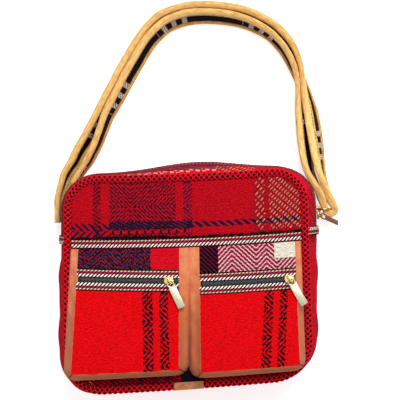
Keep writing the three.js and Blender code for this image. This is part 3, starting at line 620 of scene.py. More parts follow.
LEFT_STRIP_CLOTH = kilim(
    "kilim navy wool", 4.6, duty=0.22, broken=0.6,
    ground=[(START, "17121e"), (-43, STRIP_RED)],
    stroke=[(START, "b4182e"), (-43, STRIP_RED)],
    chevron=[(START, 0), (-130, 0), (-116, 14), (-100, 0), (-76, 24), (-55, 2), (-43, 14)],
    layers=[(-145, -43, 5, 60, "2a2a54", 5.3, 0.42, 0.8, 9.1, 0.5)])
RIGHT_STRIP_CLOTH = kilim(
    "kilim cream wool", 5.4, duty=0.3, ragged=0.3, thread=0.9, broken=0.06,
    ground=[(START, INK), (35.5, MAROON)],
    stroke=[(START, "7a1238"), (35.5, "fbe6e2")],
    chevron=[(START, 0), (16, 30), (35.5, 49.5), (52.5, 32.5), (81, 61), (93, 49), (105, 61), (140, 26)],
    layers=[(102, 145, 20.5, 60, CREAM)])
LEFT_FACE_CLOTH = kilim(
    "kilim left pocket wool", 5.8, duty=0.58, fold=(-12, 17), skew=-0.013,
    ground=[(START, BRIGHT_RED)],
    stroke=[(START, BRIGHT_RED), (-54, INK), (-42, BRIGHT_RED), (-34, INK), (-23, BRIGHT_RED)])
RIGHT_FACE_CLOTH = kilim(
    "kilim right pocket wool", 5.8, duty=0.58, fold=(-4, 17), skew=0.076,
    ground=[(START, BRIGHT_RED)],
    stroke=[(START, BRIGHT_RED), (91, INK), (101, BRIGHT_RED), (107.6, INK), (117, BRIGHT_RED)])
# On the gussets u is the length run along the strip and v the height
LOWER_GUSSET_CLOTH = kilim(
    "kilim lower gusset wool", 5.0, ground=[(START, GUSSET_RED)],
    layers=[(588, 610, 30, 90, PLUM, 6, 0.5, 1.0, 7, 0.6)])
UPPER_GUSSET_CLOTH = kilim(
    "kilim upper gusset wool", 5.0, ground=[(START, TOP_RED)], thread=1.0,
    layers=[
        (0, 48, 64, 90, PLUM, 6, 0.4, 1.0, 7, 0.6),
        (150, 300, 60, 72.5, "b4344a"),
        (150, 300, 60, 72.5, "5c1028", 3.6, 0.5, 0.02),
        (165, 275, 72.5, 77, "dfa898", 5, 0.7, 0.3, 8, 0.6),
        (120, 165, 66, 84, TARNISH, 6, 0.24, -1.0, 6, 0.55),
        (300, 420, 60, 90, "4a0e22", 4, 0.6, 0.3),
    ])
REAR_GUSSET_CLOTH = kilim("kilim rear gusset wool", 5.0, ground=[(START, GUSSET_RED)])
# Rows of a tape: where each starts across it, and its two colours
UPPER_TAPE = twill_tape("twill tape", [
    (0, INK, INK), (1.2, STRAW, BARK), (2.6, ROSE, WINE), (5.9, CREAM, INK), (9.4, "7a1432", INK)])
LOWER_TAPE = twill_tape("twill tape turned", [
    (0, CREAM, INK), (3.3, ROSE, WINE), (6.4, STRAW, BARK), (7.7, INK, INK)])
MAIN_TAPE = twill_tape("maroon twill tape", [
    (0, CLARET, DARK_CLARET), (2.6, "c25064", DARK_ROSE), (5.2, CLARET, DARK_CLARET),
    (7.4, "d8a094", DARK_ROSE)])
# The pocket walls' tan suede, with painted shade towards the bottom of the bag
TAN = suede("tan suede", "e58e62", "c4704a", 0.1, 0.2, painted_shade="b4633e")
WORN_TAN = suede("worn tan suede", "bf7c56", "935c3e", 0.15, 0.25)
MUSTARD = suede("mustard suede", "f6cf80", "dca050", 0.12, 0.25)
# The binding's lit and shaded tones, which its painted highlight and shade blend between, and its stitch
# colour
BINDING = binding_suede("mustard suede binding", "fbd184", "ac6c2c", "9a6228")
SEAM_THREAD = plain_yarn("dark sewing thread", "4a2c1c", "2c1a12")
RED_YARN = plain_yarn("red overcast wool", "e81226", "c80c1c")
BLACK_YARN = plain_yarn("black core wool", "120c10", "090709")
NYLON = plain_yarn("black nylon coil", "5e5a5e", "3a373c")
ZIP_TAPE = plain_yarn("black zip tape", "3a383c", "242226")
MAIN_NYLON = plain_yarn("maroon nylon coil", "8a1626", "5e0e1a")
MAIN_ZIP_TAPE = plain_yarn("maroon zip tape", "6a1220", "480c16")
BAND = woven_band("black woven band", "150c14", "f0e8d8")
GOLD = metal("brass", "d2b06c", 0.3)
PALE_GOLD = metal("pale brass", "efe6c4", 0.3)
COPPER = metal("copper", "8e5a46", 0.35)


# Panels, gussets and edgings

PANEL_CELLS, GUSSET_CELL, RIM_STEP = (150, 150), 3, 2
# Unevenness of the front panel's cloth, and the length of its waves
FRONT_RIPPLE, FRONT_WAVE, GUSSET_WAVE = 1.4, 26, 17
# How far the gusset's edges go in under the edging's yarns, and the main zip's tape in behind the gusset
SEWN_IN, MAIN_TAPE_DEPTH = 1.3, 1.9
# Low on the bag the gusset has sunk in on the right and filled out on the left: how far, from which height
# and over what length
SLACK_RIGHT, SLACK_TOP, SLACK_RUN = 3.4, 20, 110
FULLNESS_LEFT, FULLNESS_TOP, FULLNESS_RUN = 2.8, 45, 40
EDGING_STEP, EDGING_RADIUS, CORE_INSET, CORE_ROUND = 1.5, 4.0, 0.6, 25
CORE_COLUMNS, CORE_ROWS = 320, 12
YARN_PITCH, YARN_SLANT, YARN_WIDTH, YARN_THICK = 6.2, 0.87, 0.95, 0.55
# The yarns go round the edging from the outer side to past the inner one, in degrees
YARN_TURN = np.radians(np.linspace(-60, 200, 12))
YARN_SETS = (("right", 1, 0.35), ("left", -1, 0.6))


def corner_cut(into, radius):
    """How far a rounded corner takes the edge in, at a distance into the corner."""
    share = np.clip(into / radius, 0, 1)
    return radius * (1 - np.sqrt(1 - share * share))


def half_width(y, inset):
    """Half the panel's width at a height y, with its corners rounded."""
    top = corner_cut(y - PANEL_TOP + CORNER_TOP, CORNER_TOP - inset)
    low = corner_cut(CORNER_BOTTOM - PANEL_BOTTOM - y, CORNER_BOTTOM - inset)
    return HALF_WIDTH - inset - (top + low)


def panel(name, inset, height):
    top, low = PANEL_TOP - inset, inset - PANEL_BOTTOM

    def straight_plan(u, v):
        y = low + (top - low) * (0.5 - 0.5 * np.cos(math.pi * v))
        return (2 * u - 1) * half_width(y, inset), y

    def place(u, v):
        x, y = straight_plan(u, v)
        return (*slump(x, y), height(x, y))

    cloth_piece(name, PANEL_CELLS, place, straight_plan, PANEL_CLOTH, PANEL_THICK, "kilim_panel")


def back_cloth(x, y):
    return 0 * x + PANEL_THICK


def front_cloth(x, y):
    rim = np.maximum(0, 1 - (x / HALF_WIDTH) ** 2) * np.maximum(0, 1 - (y / PANEL_TOP) ** 2)
    return front_height(x, y) + FRONT_RIPPLE * rim * ripple(x, y, FRONT_WAVE)


def settled(y, nx):
    """How far the gusset's cloth has sunk in, or filled out where it is less than nothing."""
    right = SLACK_RIGHT * np.clip((SLACK_TOP - y) / SLACK_RUN, 0, 1)
    left = FULLNESS_LEFT * np.clip((FULLNESS_TOP - y) / FULLNESS_RUN, 0, 1)
    return np.where(nx > 0, right, left) * nx


def gusset_piece(name, rim, low, high, thickness, material, slot, lift=0.0, tape=False, wave=0.0):
    """A strip of gusset between two heights, along the whole of a rim."""
    length, width = rim_run(rim)[-1], high - low
    cells = max(6, round(length / GUSSET_CELL)), max(3, round(width / GUSSET_CELL))

    def place(u, v):
        x, y, nx, ny = along_rim(rim, u)
        z = low + width * v
        height = (z - GUSSET_MIDDLE) / GUSSET_HALF
        loose = wave * ripple(u * length, z, GUSSET_WAVE) - settled(y, nx)
        out = gusset_offset(x, nx, ny, z) + lift + loose * (1 - height * height)
        return (*stand_off(x, y, nx, ny, out), z)

    def pattern(u, v):
        return u * length, (width * (1 - v) if tape else low + width * v)

    cloth_piece(name, cells, place, pattern, material, thickness, slot)


def edging_point(rim, share, turn, lift, middle):
    """A point on an edging: turn is the angle round its section, from the outer side up over the top."""
    x, y, nx, ny = along_rim(rim, share)
    offset = -EDGING_WIDTH / 2 + (EDGING_WIDTH / 2 - CORE_INSET + lift) * np.cos(turn)
    z = middle + (EDGING_HEIGHT / 2 - CORE_INSET + lift) * np.sin(turn)
    return np.stack([*stand_off(x, y, nx, ny, offset), z], -1)


def edging(name, middle, side):
    """A black wool core overcast by two crossing sets of red yarn, which leave small black diamonds."""
    rim = np.concatenate([upper_rim(EDGING_STEP), lower_rim(EDGING_STEP)])
    length = rim_run(rim)[-1]

    def place(u, v):
        return edging_point(rim, u, v * 2 * math.pi, 0.0, middle).T

    def pattern(u, v):
        return u * length, v * CORE_ROUND

    core = grid_piece(name + "_core", CORE_COLUMNS, CORE_ROWS, place, pattern, BLACK_YARN)
    dress(core, "bag", "edging_wool", name)
    count = 2 * round(length / YARN_PITCH / 2)
    turn = YARN_TURN * side
    for hand, way, lift in YARN_SETS:
        start = np.arange(count)[:, None] / count
        run = start + way * turn * EDGING_RADIUS * YARN_SLANT / length
        # Each yarn is an oval tube along its own slanted line
        section = [edging_point(rim, (run + YARN_WIDTH * math.cos(a) / length) % 1.0,
                                np.broadcast_to(turn, run.shape), lift + YARN_THICK * math.sin(a), middle)
                   for a in TUBE_ANGLES]
        yarn = tubes(f"{name}_yarn_{hand}", np.stack(section, 2), RED_YARN)
        dress(yarn, "bag", "edging_wool")


def build_body():
    panel("back_panel", 0.0, back_cloth)
    panel("front_panel", PANEL_INSET, front_cloth)
    upper, lower = upper_rim(RIM_STEP), lower_rim(RIM_STEP)
    gap_low, gap_high = MAIN_ZIP_Z - ZIP_GAP / 2, MAIN_ZIP_Z + ZIP_GAP / 2
    strip_low, strip_high = gap_low - TWILL_WIDTH, gap_high + TWILL_WIDTH
    back, front = GUSSET_BACK - SEWN_IN, GUSSET_FRONT + SEWN_IN
    gusset_piece("lower_gusset", lower, back, front, GUSSET_THICK, LOWER_GUSSET_CLOTH, "kilim_red", wave=1.2)
    gusset_piece("top_gusset_rear", upper, back, strip_low - SEAM_GAP, GUSSET_THICK, REAR_GUSSET_CLOTH,
                 "kilim_red", wave=1.0)
    gusset_piece("top_gusset_front", upper, strip_high + SEAM_GAP, front, GUSSET_THICK, UPPER_GUSSET_CLOTH,
                 "kilim_red")
    for name, low in (("main_twill_rear", strip_low), ("main_twill_front", gap_high)):
        gusset_piece(name, upper, low, low + TWILL_WIDTH, TWILL_THICK, MAIN_TAPE, "twill_tape", tape=True)
    gusset_piece("main_zip_tape", upper, strip_low, strip_high, ZIP_TAPE_THICK, MAIN_ZIP_TAPE, "zip_tape",
                 lift=-MAIN_TAPE_DEPTH)
    edging("front_edging", BODY_DEPTH - EDGING_HEIGHT / 2, 1)
    edging("rear_edging", REAR_EDGING_LIFT + EDGING_HEIGHT / 2, -1)


# Tapes and pockets

SIDE_TAPE_CROWN, CROSS_TAPE_CROWN = 0.4, 0.5
SIDE_TAPE_CELLS, CROSS_TAPE_CELLS = (6, 30), (130, 6)
# Unevenness of the hand-cut edges of a pocket's face, and the puff of its cloth
HAND_CUT, CUT_WAVE, FACE_PUFF, STRIP_PUFF, PUFF_WAVE = 0.45, 9, 1.6, 0.5, 21
PUFF_MEAN, PUFF_VARIES = 0.6, 0.8
POCKET_CELL, WALL_CELL, WALL_ROWS, WALL_STATIONS = 2, 2.2, 10, 50
# Cut width of a bellows wall, how far its head stays under the face, and how it sags and swells
WALL_WIDTH, HEAD_GAP, WALL_FOLD, WALL_SLACK, WALL_SWELL = 22, 0.2, 0.10, 0.9, 0.8
WALL_WAVE, WAVE_RISE = 15, 30
MITRE_RADIUS, MITRE_LIFT = 0.4, 0.35
MITRE_RUN = np.linspace(0.04, 0.96, 12)
# The turns of a zip coil: pitch, wire radius, how deep and how far in they lie, their drop and their meshing
COIL_PITCH, TURN_HALF, TURN_SUNK, TURN_INSET, TURN_DROP, MESHING = 1.9, 0.62, 0.1, 0.6, 0.4, 0.5
# How far a coil stays from the left and right ends of a pocket's zip, and from both ends of the main one
COIL_FROM_LEFT, COIL_FROM_RIGHT, COIL_FROM_END = 3, 2, 4
POCKET_TURN_LEAN = 0.5


def cross_tape():
    """Tape over the front panel, along the heads of the pockets."""
    reach = HALF_WIDTH - PANEL_INSET - SEAM_GAP

    def place(u, v):
        x, y = reach * (2 * u - 1), TAPE_TOP_Y - TAPE_WIDTH * (1 - v)
        crown = CROSS_TAPE_CROWN * np.sin(math.pi * v)
        return (*slump(x, y), front_height(x, y) + SEAM_GAP + TWILL_THICK + crown)

    def pattern(u, v):
        return 2 * reach * u, TAPE_WIDTH * (1 - v)

    cloth_piece("cross_tape", CROSS_TAPE_CELLS, place, pattern, UPPER_TAPE, TWILL_THICK, "twill_tape")


def joint_tape(name, side):
    """Tape sewn over a joint of the gusset, its stripes running from the back to the front."""
    y = GUSSET_JOINT_Y + side * SIDE_TAPE_WIDTH * np.array([-0.5, 0.5])
    rim = np.stack([0 * y + side * HALF_WIDTH, y, 0 * y + side, 0 * y], 1)
    high = GUSSET_FRONT - GUSSET_BACK

    def place(u, v):
        x, y, nx, ny = along_rim(rim, u)
        z = GUSSET_BACK + high * v
        crown = SIDE_TAPE_CROWN * np.sin(math.pi * u)
        out = gusset_offset(x, nx, ny, z) + COIL_HEIGHT + SEAM_GAP + crown
        return (*stand_off(x, y, nx, ny, out), z)

    def pattern(u, v):
        return high * v, SIDE_TAPE_WIDTH * u

    cloth_piece(name, SIDE_TAPE_CELLS, place, pattern, UPPER_TAPE, TWILL_THICK, "twill_tape")


def build_tapes():
    for name, side in (("side_tape_left", -1), ("side_tape_right", 1)):
        joint_tape(name, side)
    cross_tape()


def pocket_cloth(side, part, top, low, thickness, material, slot, lift=0.0, tuck=0.0, tape=False, puff=0.0,
                 cut=0.0):
    """A band across a pocket, from one distance below its top to another."""
    pocket = POCKETS[side]
    width, high = pocket["x_right"] - pocket["x_left"], low - top

    def seam(down, x):
        """The pocket's own ends are straight across, and the seams between follow the zip."""
        return POCKET_TOP_Y - down if down in (0, pocket["length"]) else pocket_line(pocket, down, x)

    def plan(u, v):
        left, right = pocket_edges(pocket, POCKET_TOP_Y - (top + low) / 2)
        x = left + (right - left) * u
        y = seam(low, x) + (seam(top, x) - seam(low, x)) * v
        uneven = cut * (1 + ripple(x, 3 * y, CUT_WAVE))
        left, right = pocket_edges(pocket, y)
        left, right = left + tuck + uneven, right - tuck - uneven
        return left + (right - left) * u, y + uneven * (1 - v)

    def place(u, v):
        x, y = plan(u, v)
        swell = (1 - (2 * u - 1) ** 4) * (1 - (2 * v - 1) ** 4)
        puffed = puff * swell * (PUFF_MEAN + PUFF_VARIES * ripple(x, y, PUFF_WAVE))
        return (*slump(x, y), pocket_height(pocket, y) + lift + puffed)

    def pattern(u, v):
        x, y = plan(u, v)
        return x, (high * (1 - v) if tape else y)

    cells = round(width / POCKET_CELL), max(4, round(high / POCKET_CELL))
    cloth_piece(f"{side}_pocket_{part}", cells, place, pattern, material, thickness, slot)


def wall_rim(pocket):
    """Plan of a pocket's bellows wall: down the left side, along the bottom and up the right side."""
    low = POCKET_TOP_Y - pocket["length"]
    y = np.linspace(POCKET_TOP_Y, low + WALL_CORNER, WALL_STATIONS)
    left, right = pocket_edges(pocket, y)
    low_left, low_right = pocket_edges(pocket, low)
    low_left, low_right = low_left + WALL_CORNER, low_right - WALL_CORNER
    return np.concatenate([
        np.stack([left, y, 0 * y - 1, 0 * y], 1),
        corner_arc(low_left, low + WALL_CORNER, WALL_CORNER, math.pi, 1)[1:],
        straight(low_left, low, low_right, low, 0, -1, 2),
        corner_arc(low_right, low + WALL_CORNER, WALL_CORNER, 1.5 * math.pi, 1),
        np.stack([right, y, 0 * y + 1, 0 * y], 1)[::-1]])


def bellows_wall(side):
    """Suede wall between the panel and the face, spread at its foot, with mitred seams at its corners."""
    pocket = POCKETS[side]
    rim = wall_rim(pocket)
    run = rim_run(rim)
    length = run[-1]

    def place(u, v):
        x, y, nx, ny = along_rim(rim, u)
        spread_side = np.where(nx < 0, pocket["spread_left"], pocket["spread_right"])
        out = spread_side * nx * nx + WALL_SPREAD_BOTTOM * ny * ny
        foot = np.maximum(front_height(x + nx * out, y + ny * out), BODY_DEPTH) + SEAM_GAP
        head = pocket_height(pocket, y) - HEAD_GAP
        rise = v + WALL_FOLD * np.sin(2 * math.pi * v)
        slack = WALL_SLACK * np.sin(math.pi * v) * ripple(u * length, WAVE_RISE * v, WALL_WAVE)
        offset = out * (1 - v) + WALL_SWELL * np.sin(math.pi * v) + slack
        return (*stand_off(x, y, nx, ny, offset), foot + (head - foot) * rise + slack)

    def pattern(u, v):
        return u * length, v * WALL_WIDTH

    cells, flat = (round(length / WALL_CELL), WALL_ROWS), (length, WALL_WIDTH)
    cloth_piece(f"{side}_pocket_wall", cells, place, pattern, TAN, WALL_THICK, "tan_suede",
                kind="suede")
    starts, ends = [], []
    for way in (-1, 1):
        corner = np.argmin(np.hypot(rim[:, 2] - way * math.sqrt(0.5), rim[:, 3] + math.sqrt(0.5)))
        line = np.stack(place(0 * MITRE_RUN + run[corner] / length, MITRE_RUN), 1)
        line[:, 2] += MITRE_LIFT
        starts.append(line[:-1])
        ends.append(line[1:])
    starts, ends = np.concatenate(starts), np.concatenate(ends)
    dress(rods(f"{side}_pocket_mitre_seam", starts, ends, MITRE_RADIUS, SEAM_THREAD), "bag", "tan_suede")


def coil(name, node, spot, at, step, lean, material):
    """Two rows of slanted turns that mesh along a zip's middle; spot(at, across, up) is a place on it."""
    top = COIL_HEIGHT - TWILL_THICK - TURN_HALF - TURN_SUNK
    outer = COIL_WIDTH / 2 - TURN_INSET
    starts = np.concatenate([spot(at, -outer, top - TURN_DROP), spot(at + step, outer, top - TURN_DROP)])
    ends = np.concatenate([spot(at + lean, MESHING, top), spot(at + step + lean, -MESHING, top)])
    dress(rods(name, starts, ends, TURN_HALF, material), "bag", "zip_coil", node)


def pocket_coil(side):
    pocket = POCKETS[side]
    down = pocket["strip"] + TWILL_WIDTH + ZIP_GAP / 2

    def spot(x, below, up):
        y = pocket_line(pocket, down + below, x)
        return np.stack([*slump(x, y), pocket_height(pocket, y) + up], 1)

    at = np.arange(pocket["x_left"] + COIL_FROM_LEFT, pocket["x_right"] - COIL_FROM_RIGHT, COIL_PITCH)
    coil(f"{side}_pocket_coil_turns", f"{side}_pocket_zip_coil", spot, at, COIL_PITCH / 2, POCKET_TURN_LEAN,
         NYLON)


def main_coil():
    rim = upper_rim(RIM_STEP)
    length = rim_run(rim)[-1]

    def spot(share, across, up):
        x, y, nx, ny = along_rim(rim, share)
        out = gusset_offset(x, nx, ny, MAIN_ZIP_Z + across) + up
        return np.stack([*stand_off(x, y, nx, ny, out), MAIN_ZIP_Z + across + 0 * x], 1)

    at = np.arange(COIL_FROM_END, length - COIL_FROM_END, COIL_PITCH) / length
    half = COIL_PITCH / 2 / length
    coil("main_coil_turns", "main_zip_coil", spot, at, half, half / 2, MAIN_NYLON)


def build_pocket(side, strip_cloth, face_cloth):
    length, strip = POCKETS[side]["length"], POCKETS[side]["strip"]
    zip_top = strip + TWILL_WIDTH
    zip_low = zip_top + ZIP_GAP
    tape_low = zip_low + TWILL_WIDTH
    pocket_cloth(side, "strip", 0, strip - SEAM_GAP, CLOTH_THICK, strip_cloth, "kilim_panel", puff=STRIP_PUFF)
    pocket_cloth(side, "twill_upper", strip, zip_top, TWILL_THICK, UPPER_TAPE, "twill_tape", tape=True)
    pocket_cloth(side, "twill_lower", zip_low, tape_low, TWILL_THICK, LOWER_TAPE, "twill_tape", tape=True)
    pocket_cloth(side, "face", tape_low + SEAM_GAP, length, CLOTH_THICK, face_cloth, "kilim_red",
                 puff=FACE_PUFF, cut=HAND_CUT)
    pocket_cloth(side, "zip_tape", strip, tape_low, ZIP_TAPE_THICK, ZIP_TAPE, "zip_tape",
                 lift=-TWILL_THICK - SEAM_GAP, tuck=WALL_THICK + SEAM_GAP)
    bellows_wall(side)
    pocket_coil(side)


# Strap

STRAP_STEPS, STRAP_CELL, STRAP_ROWS = 6, 2.5, 18
# Its half turn in the ring
RING_BEND = np.radians(np.arange(0, -181, -22.5))
# Widths and thickness where the strap is gathered in its ring, and how much more the bindings bunch near it
GATHERED_BINDING, GATHERED_BAND, GATHERED_THICK, BUNCHING = 4.6, 2.2, 7.8, 9
# The soft strap slumps: its band leans more than its middle line, its lower binding stands under it.
# All of it moves out and down with its lean, given in millimetres for each radian
BAND_LEAN, FRONT_LEAN, BACK_LEAN, LEAN_SHIFT, LEAN_DROP = 1.9, 2.4, 0.6, 12, 6
# Near its sewn end on the left it lies flatter
FLAT_START, FLAT_RUN, BAND_FLAT, BACK_FLAT = 1.2, 130, 1.5, 6.5
# On the right its upper binding is rolled over the band, fully from this lean on
ROLL_LEAN, BAND_ROLL, FRONT_ROLL, ROLL_SHIFT = 0.25, 1.1, 1.4, 4
# Puckers of a binding, fine and long: their depth, how they run round it, and their length
PUCKERS = ((0.05, 14, np.cos, 6), (0.04, 9, np.sin, 19))
# Share of its width that a binding fills, and of its puckers that go sideways
BINDING_REACH, PUCKER_REACH = 0.99, 0.2
BAND_OVERLAP, BAND_RIPPLE, BAND_WAVE = 0.6, 0.4, 13
# Powers of the sine that round the sections: the lower, the flatter
BINDING_ROUNDING, BAND_ROUNDING = 0.8, 0.5
RING_SEGMENTS = 64, 20


def ring_place():
    """Where the ring hangs on the right gusset: its centre, and where the strap turns."""
    one, none = np.array([1.0]), np.array([0.0])
    out = gusset_offset(one * HALF_WIDTH, one, none, RING_Z + TAB_WIDTH / 2)
    x, y = slump(one * HALF_WIDTH + out, one * RING_Y)
    hole = x[0] + SEAM_GAP + TAB_WALL + TAB_SLACK + RING_WIRE / 2
    return hole + RING_RADIUS, y[0], hole + 2 * RING_RADIUS - RING_WIRE / 2


def strap_stations():
    """The strap's route, smoothed through its points: place, lean and share of its full width."""
    _, ring_y, turn_x = ring_place()
    bend = [(turn_x + TURN_RADIUS * math.cos(a), ring_y + TURN_RADIUS * math.sin(a), RING_Z, 0, 0)
            for a in RING_BEND]
    route = np.array(STRAP_OUTER + bend + STRAP_INNER, float)
    padded = np.concatenate([2 * route[:1] - route[1:2], route, 2 * route[-1:] - route[-2:-1]])
    smooth = []
    for i in range(1, len(padded) - 2):
        a, b, c, d = padded[i - 1:i + 3]
        for t in np.arange(STRAP_STEPS)[:, None] / STRAP_STEPS:
            smooth.append(0.5 * (2 * b + (c - a) * t + (2 * a - 5 * b + 4 * c - d) * t ** 2
                                 + (3 * b - a - 3 * c + d) * t ** 3))
    return np.concatenate([np.concatenate(smooth).reshape(-1, 5), route[-1:]])


def strap_frames():
    """Middle line of the strap, the way to its left, its lean, its share of full width and the length run."""
    line = strap_stations()
    travel = np.gradient(line[:, :2], axis=0)
    travel = travel / np.linalg.norm(travel, axis=1)[:, None]
    left = np.stack([-travel[:, 1], travel[:, 0]], 1)
    run = np.concatenate([[0], np.cumsum(np.linalg.norm(np.diff(line[:, :3], axis=0), axis=1))])
    return line[:, :3], left, np.radians(line[:, 3]), np.clip(line[:, 4], 0, 1), run


def gathered(least, full, share):
    return least + (full - least) * share


def strap_piece(name, section, material, edge):
    """Sweep a closed section along the strap; edge is 1 or -1 for a binding and 0 for the band.

    section(share, run, angle) gives the reach up the strap and the reach through its thickness.
    """
    centre, left, lean, share, run = strap_frames()
    length = run[-1]

    def place(u, v):
        at = u * length
        x, y, z = (np.interp(at, run, centre[:, k]) for k in range(3))
        side_x, side_y = (np.interp(at, run, left[:, k]) for k in range(2))
        part, slope = np.interp(at, run, share), np.interp(at, run, lean)
        high, wide = section(part, at, 2 * math.pi * v)
        half = edge * gathered(GATHERED_BAND, BAND_WIDTH, part) / 2
        flat = np.clip(FLAT_START - at / FLAT_RUN, 0, 1)
        rolled = np.where(at < length / 2, np.clip(-slope / ROLL_LEAN, 0, 1), 0)
        band = slope * (BAND_LEAN - BAND_FLAT * flat - BAND_ROLL * rolled)
        front, back = slope * (FRONT_LEAN + FRONT_ROLL * rolled), slope * (BACK_LEAN + BACK_FLAT * flat)
        own = {0: band, 1: front, -1: back}[edge]
        shift = (LEAN_SHIFT + ROLL_SHIFT * rolled) * slope
        out = half * np.sin(band) + (high - half) * np.sin(own) - wide * np.cos(own) - shift
        up = half * np.cos(band) + (high - half) * np.cos(own) + wide * np.sin(own)
        return x + side_x * out, y + side_y * out, z + up - LEAN_DROP * np.abs(slope)

    def pattern(u, v):
        return v * BINDING_ROUND, u * length

    piece = grid_piece(name, round(length / STRAP_CELL), STRAP_ROWS, place, pattern, material)
    # Close the two ends
    with editing("DESELECT"):
        bpy.ops.mesh.select_non_manifold()
        bpy.ops.mesh.edge_face_add()
    return piece, length


def rounded(angle, power):
    """A sine made fuller, for a flatter section."""
    return np.sign(np.sin(angle)) * np.abs(np.sin(angle)) ** power


def binding_section(side):
    """A soft padded roll on one edge of the band, lightly puckered by its stitching."""
    def section(share, run, angle):
        band = gathered(GATHERED_BAND, BAND_WIDTH, share)
        width = gathered(GATHERED_BINDING, BINDING_WIDTH, share)
        thick = gathered(GATHERED_THICK, BINDING_THICK, share) + BUNCHING * share * (1 - share)
        pucker = 1 + sum(depth * ripple(run, wander * turn(angle), wave)
                         for depth, wander, turn, wave in PUCKERS)
        reach = width / 2 * np.cos(angle) * (BINDING_REACH + PUCKER_REACH * (pucker - 1))
        high = side * (band / 2 + SEAM_GAP + width / 2 + reach)
        return high, thick / 2 * rounded(angle, BINDING_ROUNDING) * pucker
    return section


def band_section(share, run, angle):
    half = gathered(GATHERED_BAND, BAND_WIDTH, share) / 2 + BAND_OVERLAP
    waves = BAND_RIPPLE * ripple(run, 0 * run, BAND_WAVE)
    return half * np.cos(angle), BAND_THICK / 2 * rounded(angle, BAND_ROUNDING) + waves


def strap_ring():
    """The wire ring that the strap turns in, standing in its tab."""
    centre_x, ring_y, _ = ring_place()
    ring = torus(RING_RADIUS, RING_WIRE / 2, *RING_SEGMENTS)
    ring.name = "strap_ring_wire"
    with editing():
        bpy.ops.transform.rotate(value=math.pi / 2, orient_axis="X", center_override=(0, 0, 0))
        bpy.ops.transform.translate(value=(centre_x * MM, ring_y * MM, RING_Z * MM))
    dress(finish_mesh(ring, GOLD), "bag", "brass_metal", "strap_ring")


def build_strap():
    for name, side in (("strap_binding_front", 1), ("strap_binding_back", -1)):
        piece, _ = strap_piece(name + "_suede", binding_section(side), BINDING, side)
        dress(piece, "bag", "mustard_suede", name)
    piece, length = strap_piece("strap_band_cloth", band_section, BAND, 0)
    dress(piece, "bag", "woven_band", "strap_band")
    strap_ring()


# Zip hardware

SLIDER_HEIGHT, RUN_GAP = 2.6, 0.4
ABOVE_COIL = COIL_HEIGHT - TWILL_THICK + RUN_GAP
# Parts of a slider in its own axes: size, place and bevel
TOP_PLATE = (11, 8.6, 1.0), (0, 0, 2.1), 0.35
LOW_PLATE = (10, 8.0, 0.9), (0, 0, 0.5), 0.4
NECK = (4, 4.4, 1.4), (2.5, 0, 1.3), 0.3
LIPS = [((8, 0.8, 1.6), (-0.5, y, 1.3), 0.3) for y in (3.8, -3.8)]
OVAL_SIDES, RIM_SEGMENTS, EDGE_SEGMENTS = 40, 3, 4
BAIL_HEIGHT, BAIL_REACH, BAIL_LEG, BAIL_WIDTH, BAIL_BEVEL = 2.8, 2.6, 1.4, 1.8, 0.4
# The eye of a pull, and its tab from the eye on
EYE_RADIUS, EYE_WIRE, EYE_REACH, EYE_OVAL = 4.1, 0.9, 4.3, (1.05, 0.9, 1)
EYE_SEGMENTS = 36, 10
PULL_TAB_START, PULL_TAB_THICK, PULL_TAB_BEVEL = 8.25, 1.5, 0.6
# Where each slider stands on its zip, and its pull: turn and drop in degrees, size, metal and slot
SLIDERS = {
    "left": dict(stand=-21, turn=-64, drop=4, length=35, width=9, metal=PALE_GOLD, slot="pale_brass"),
    "right": dict(stand=119, turn=-64, drop=4, length=35, width=9, metal=PALE_GOLD, slot="pale_brass"),
    "main": dict(stand=67, turn=233, drop=-48, length=27, width=7, metal=COPPER, slot="copper_metal"),
}


def coil_point(side, stand, across):
    """A point just above a zip's coil: stand is x on a pocket and y on the main zip."""
    if side == "main":
        z = MAIN_ZIP_Z + across
        out = float(gusset_offset(HALF_WIDTH, 1, 0, z)) + ABOVE_COIL
        return Vector((*slump(HALF_WIDTH + out, stand), z)) * MM
    pocket = POCKETS[side]
    y = pocket_line(pocket, pocket["strip"] + TWILL_WIDTH + ZIP_GAP / 2 - across, stand)
    return Vector((*slump(stand, y), pocket_height(pocket, y) + ABOVE_COIL)) * MM


def zip_frame(side):
    """Place of a slider, the way along its zip, across it and out of the cloth."""
    stand = SLIDERS[side]["stand"]
    along = (coil_point(side, stand + 1, 0) - coil_point(side, stand - 1, 0)).normalized()
    half = COIL_WIDTH / 2
    slope = coil_point(side, stand, half) - coil_point(side, stand, -half)
    out = along.cross(slope).normalized()
    return coil_point(side, stand, 0), along, out.cross(along), out


def pull_axes(side):
    """The way a pull hangs from its slider, and its hinge line."""
    _, along, across, _ = zip_frame(side)
    turn = math.radians(SLIDERS[side]["turn"])
    return along * math.cos(turn) + across * math.sin(turn), across * math.cos(turn) - along * math.sin(turn)


def scaled(values):
    return [value * MM for value in values]


def torus(radius, wire, around, section):
    bpy.ops.mesh.primitive_torus_add(major_radius=radius * MM, minor_radius=wire * MM, major_segments=around,
                                     minor_segments=section)
    return bpy.context.object


def block(size, spot, bevel, oval=False):
    """A bevelled box in local millimetres, or a plate with an oval outline and bevelled rims."""
    if oval:
        bpy.ops.mesh.primitive_cylinder_add(vertices=OVAL_SIDES, radius=0.5, depth=1)
    else:
        bpy.ops.mesh.primitive_cube_add(size=1)
    with editing():
        bpy.ops.transform.resize(value=scaled(size))
        if oval:
            bpy.ops.mesh.select_all(action="DESELECT")
            bpy.ops.mesh.select_face_by_sides(number=OVAL_SIDES)
            bpy.ops.mesh.region_to_loop()
        segments = RIM_SEGMENTS if oval else EDGE_SEGMENTS
        bpy.ops.mesh.bevel(offset=bevel * MM, segments=segments, affect="EDGES")
        bpy.ops.mesh.select_all(action="SELECT")
        bpy.ops.transform.translate(value=scaled(spot))
    return bpy.context.object


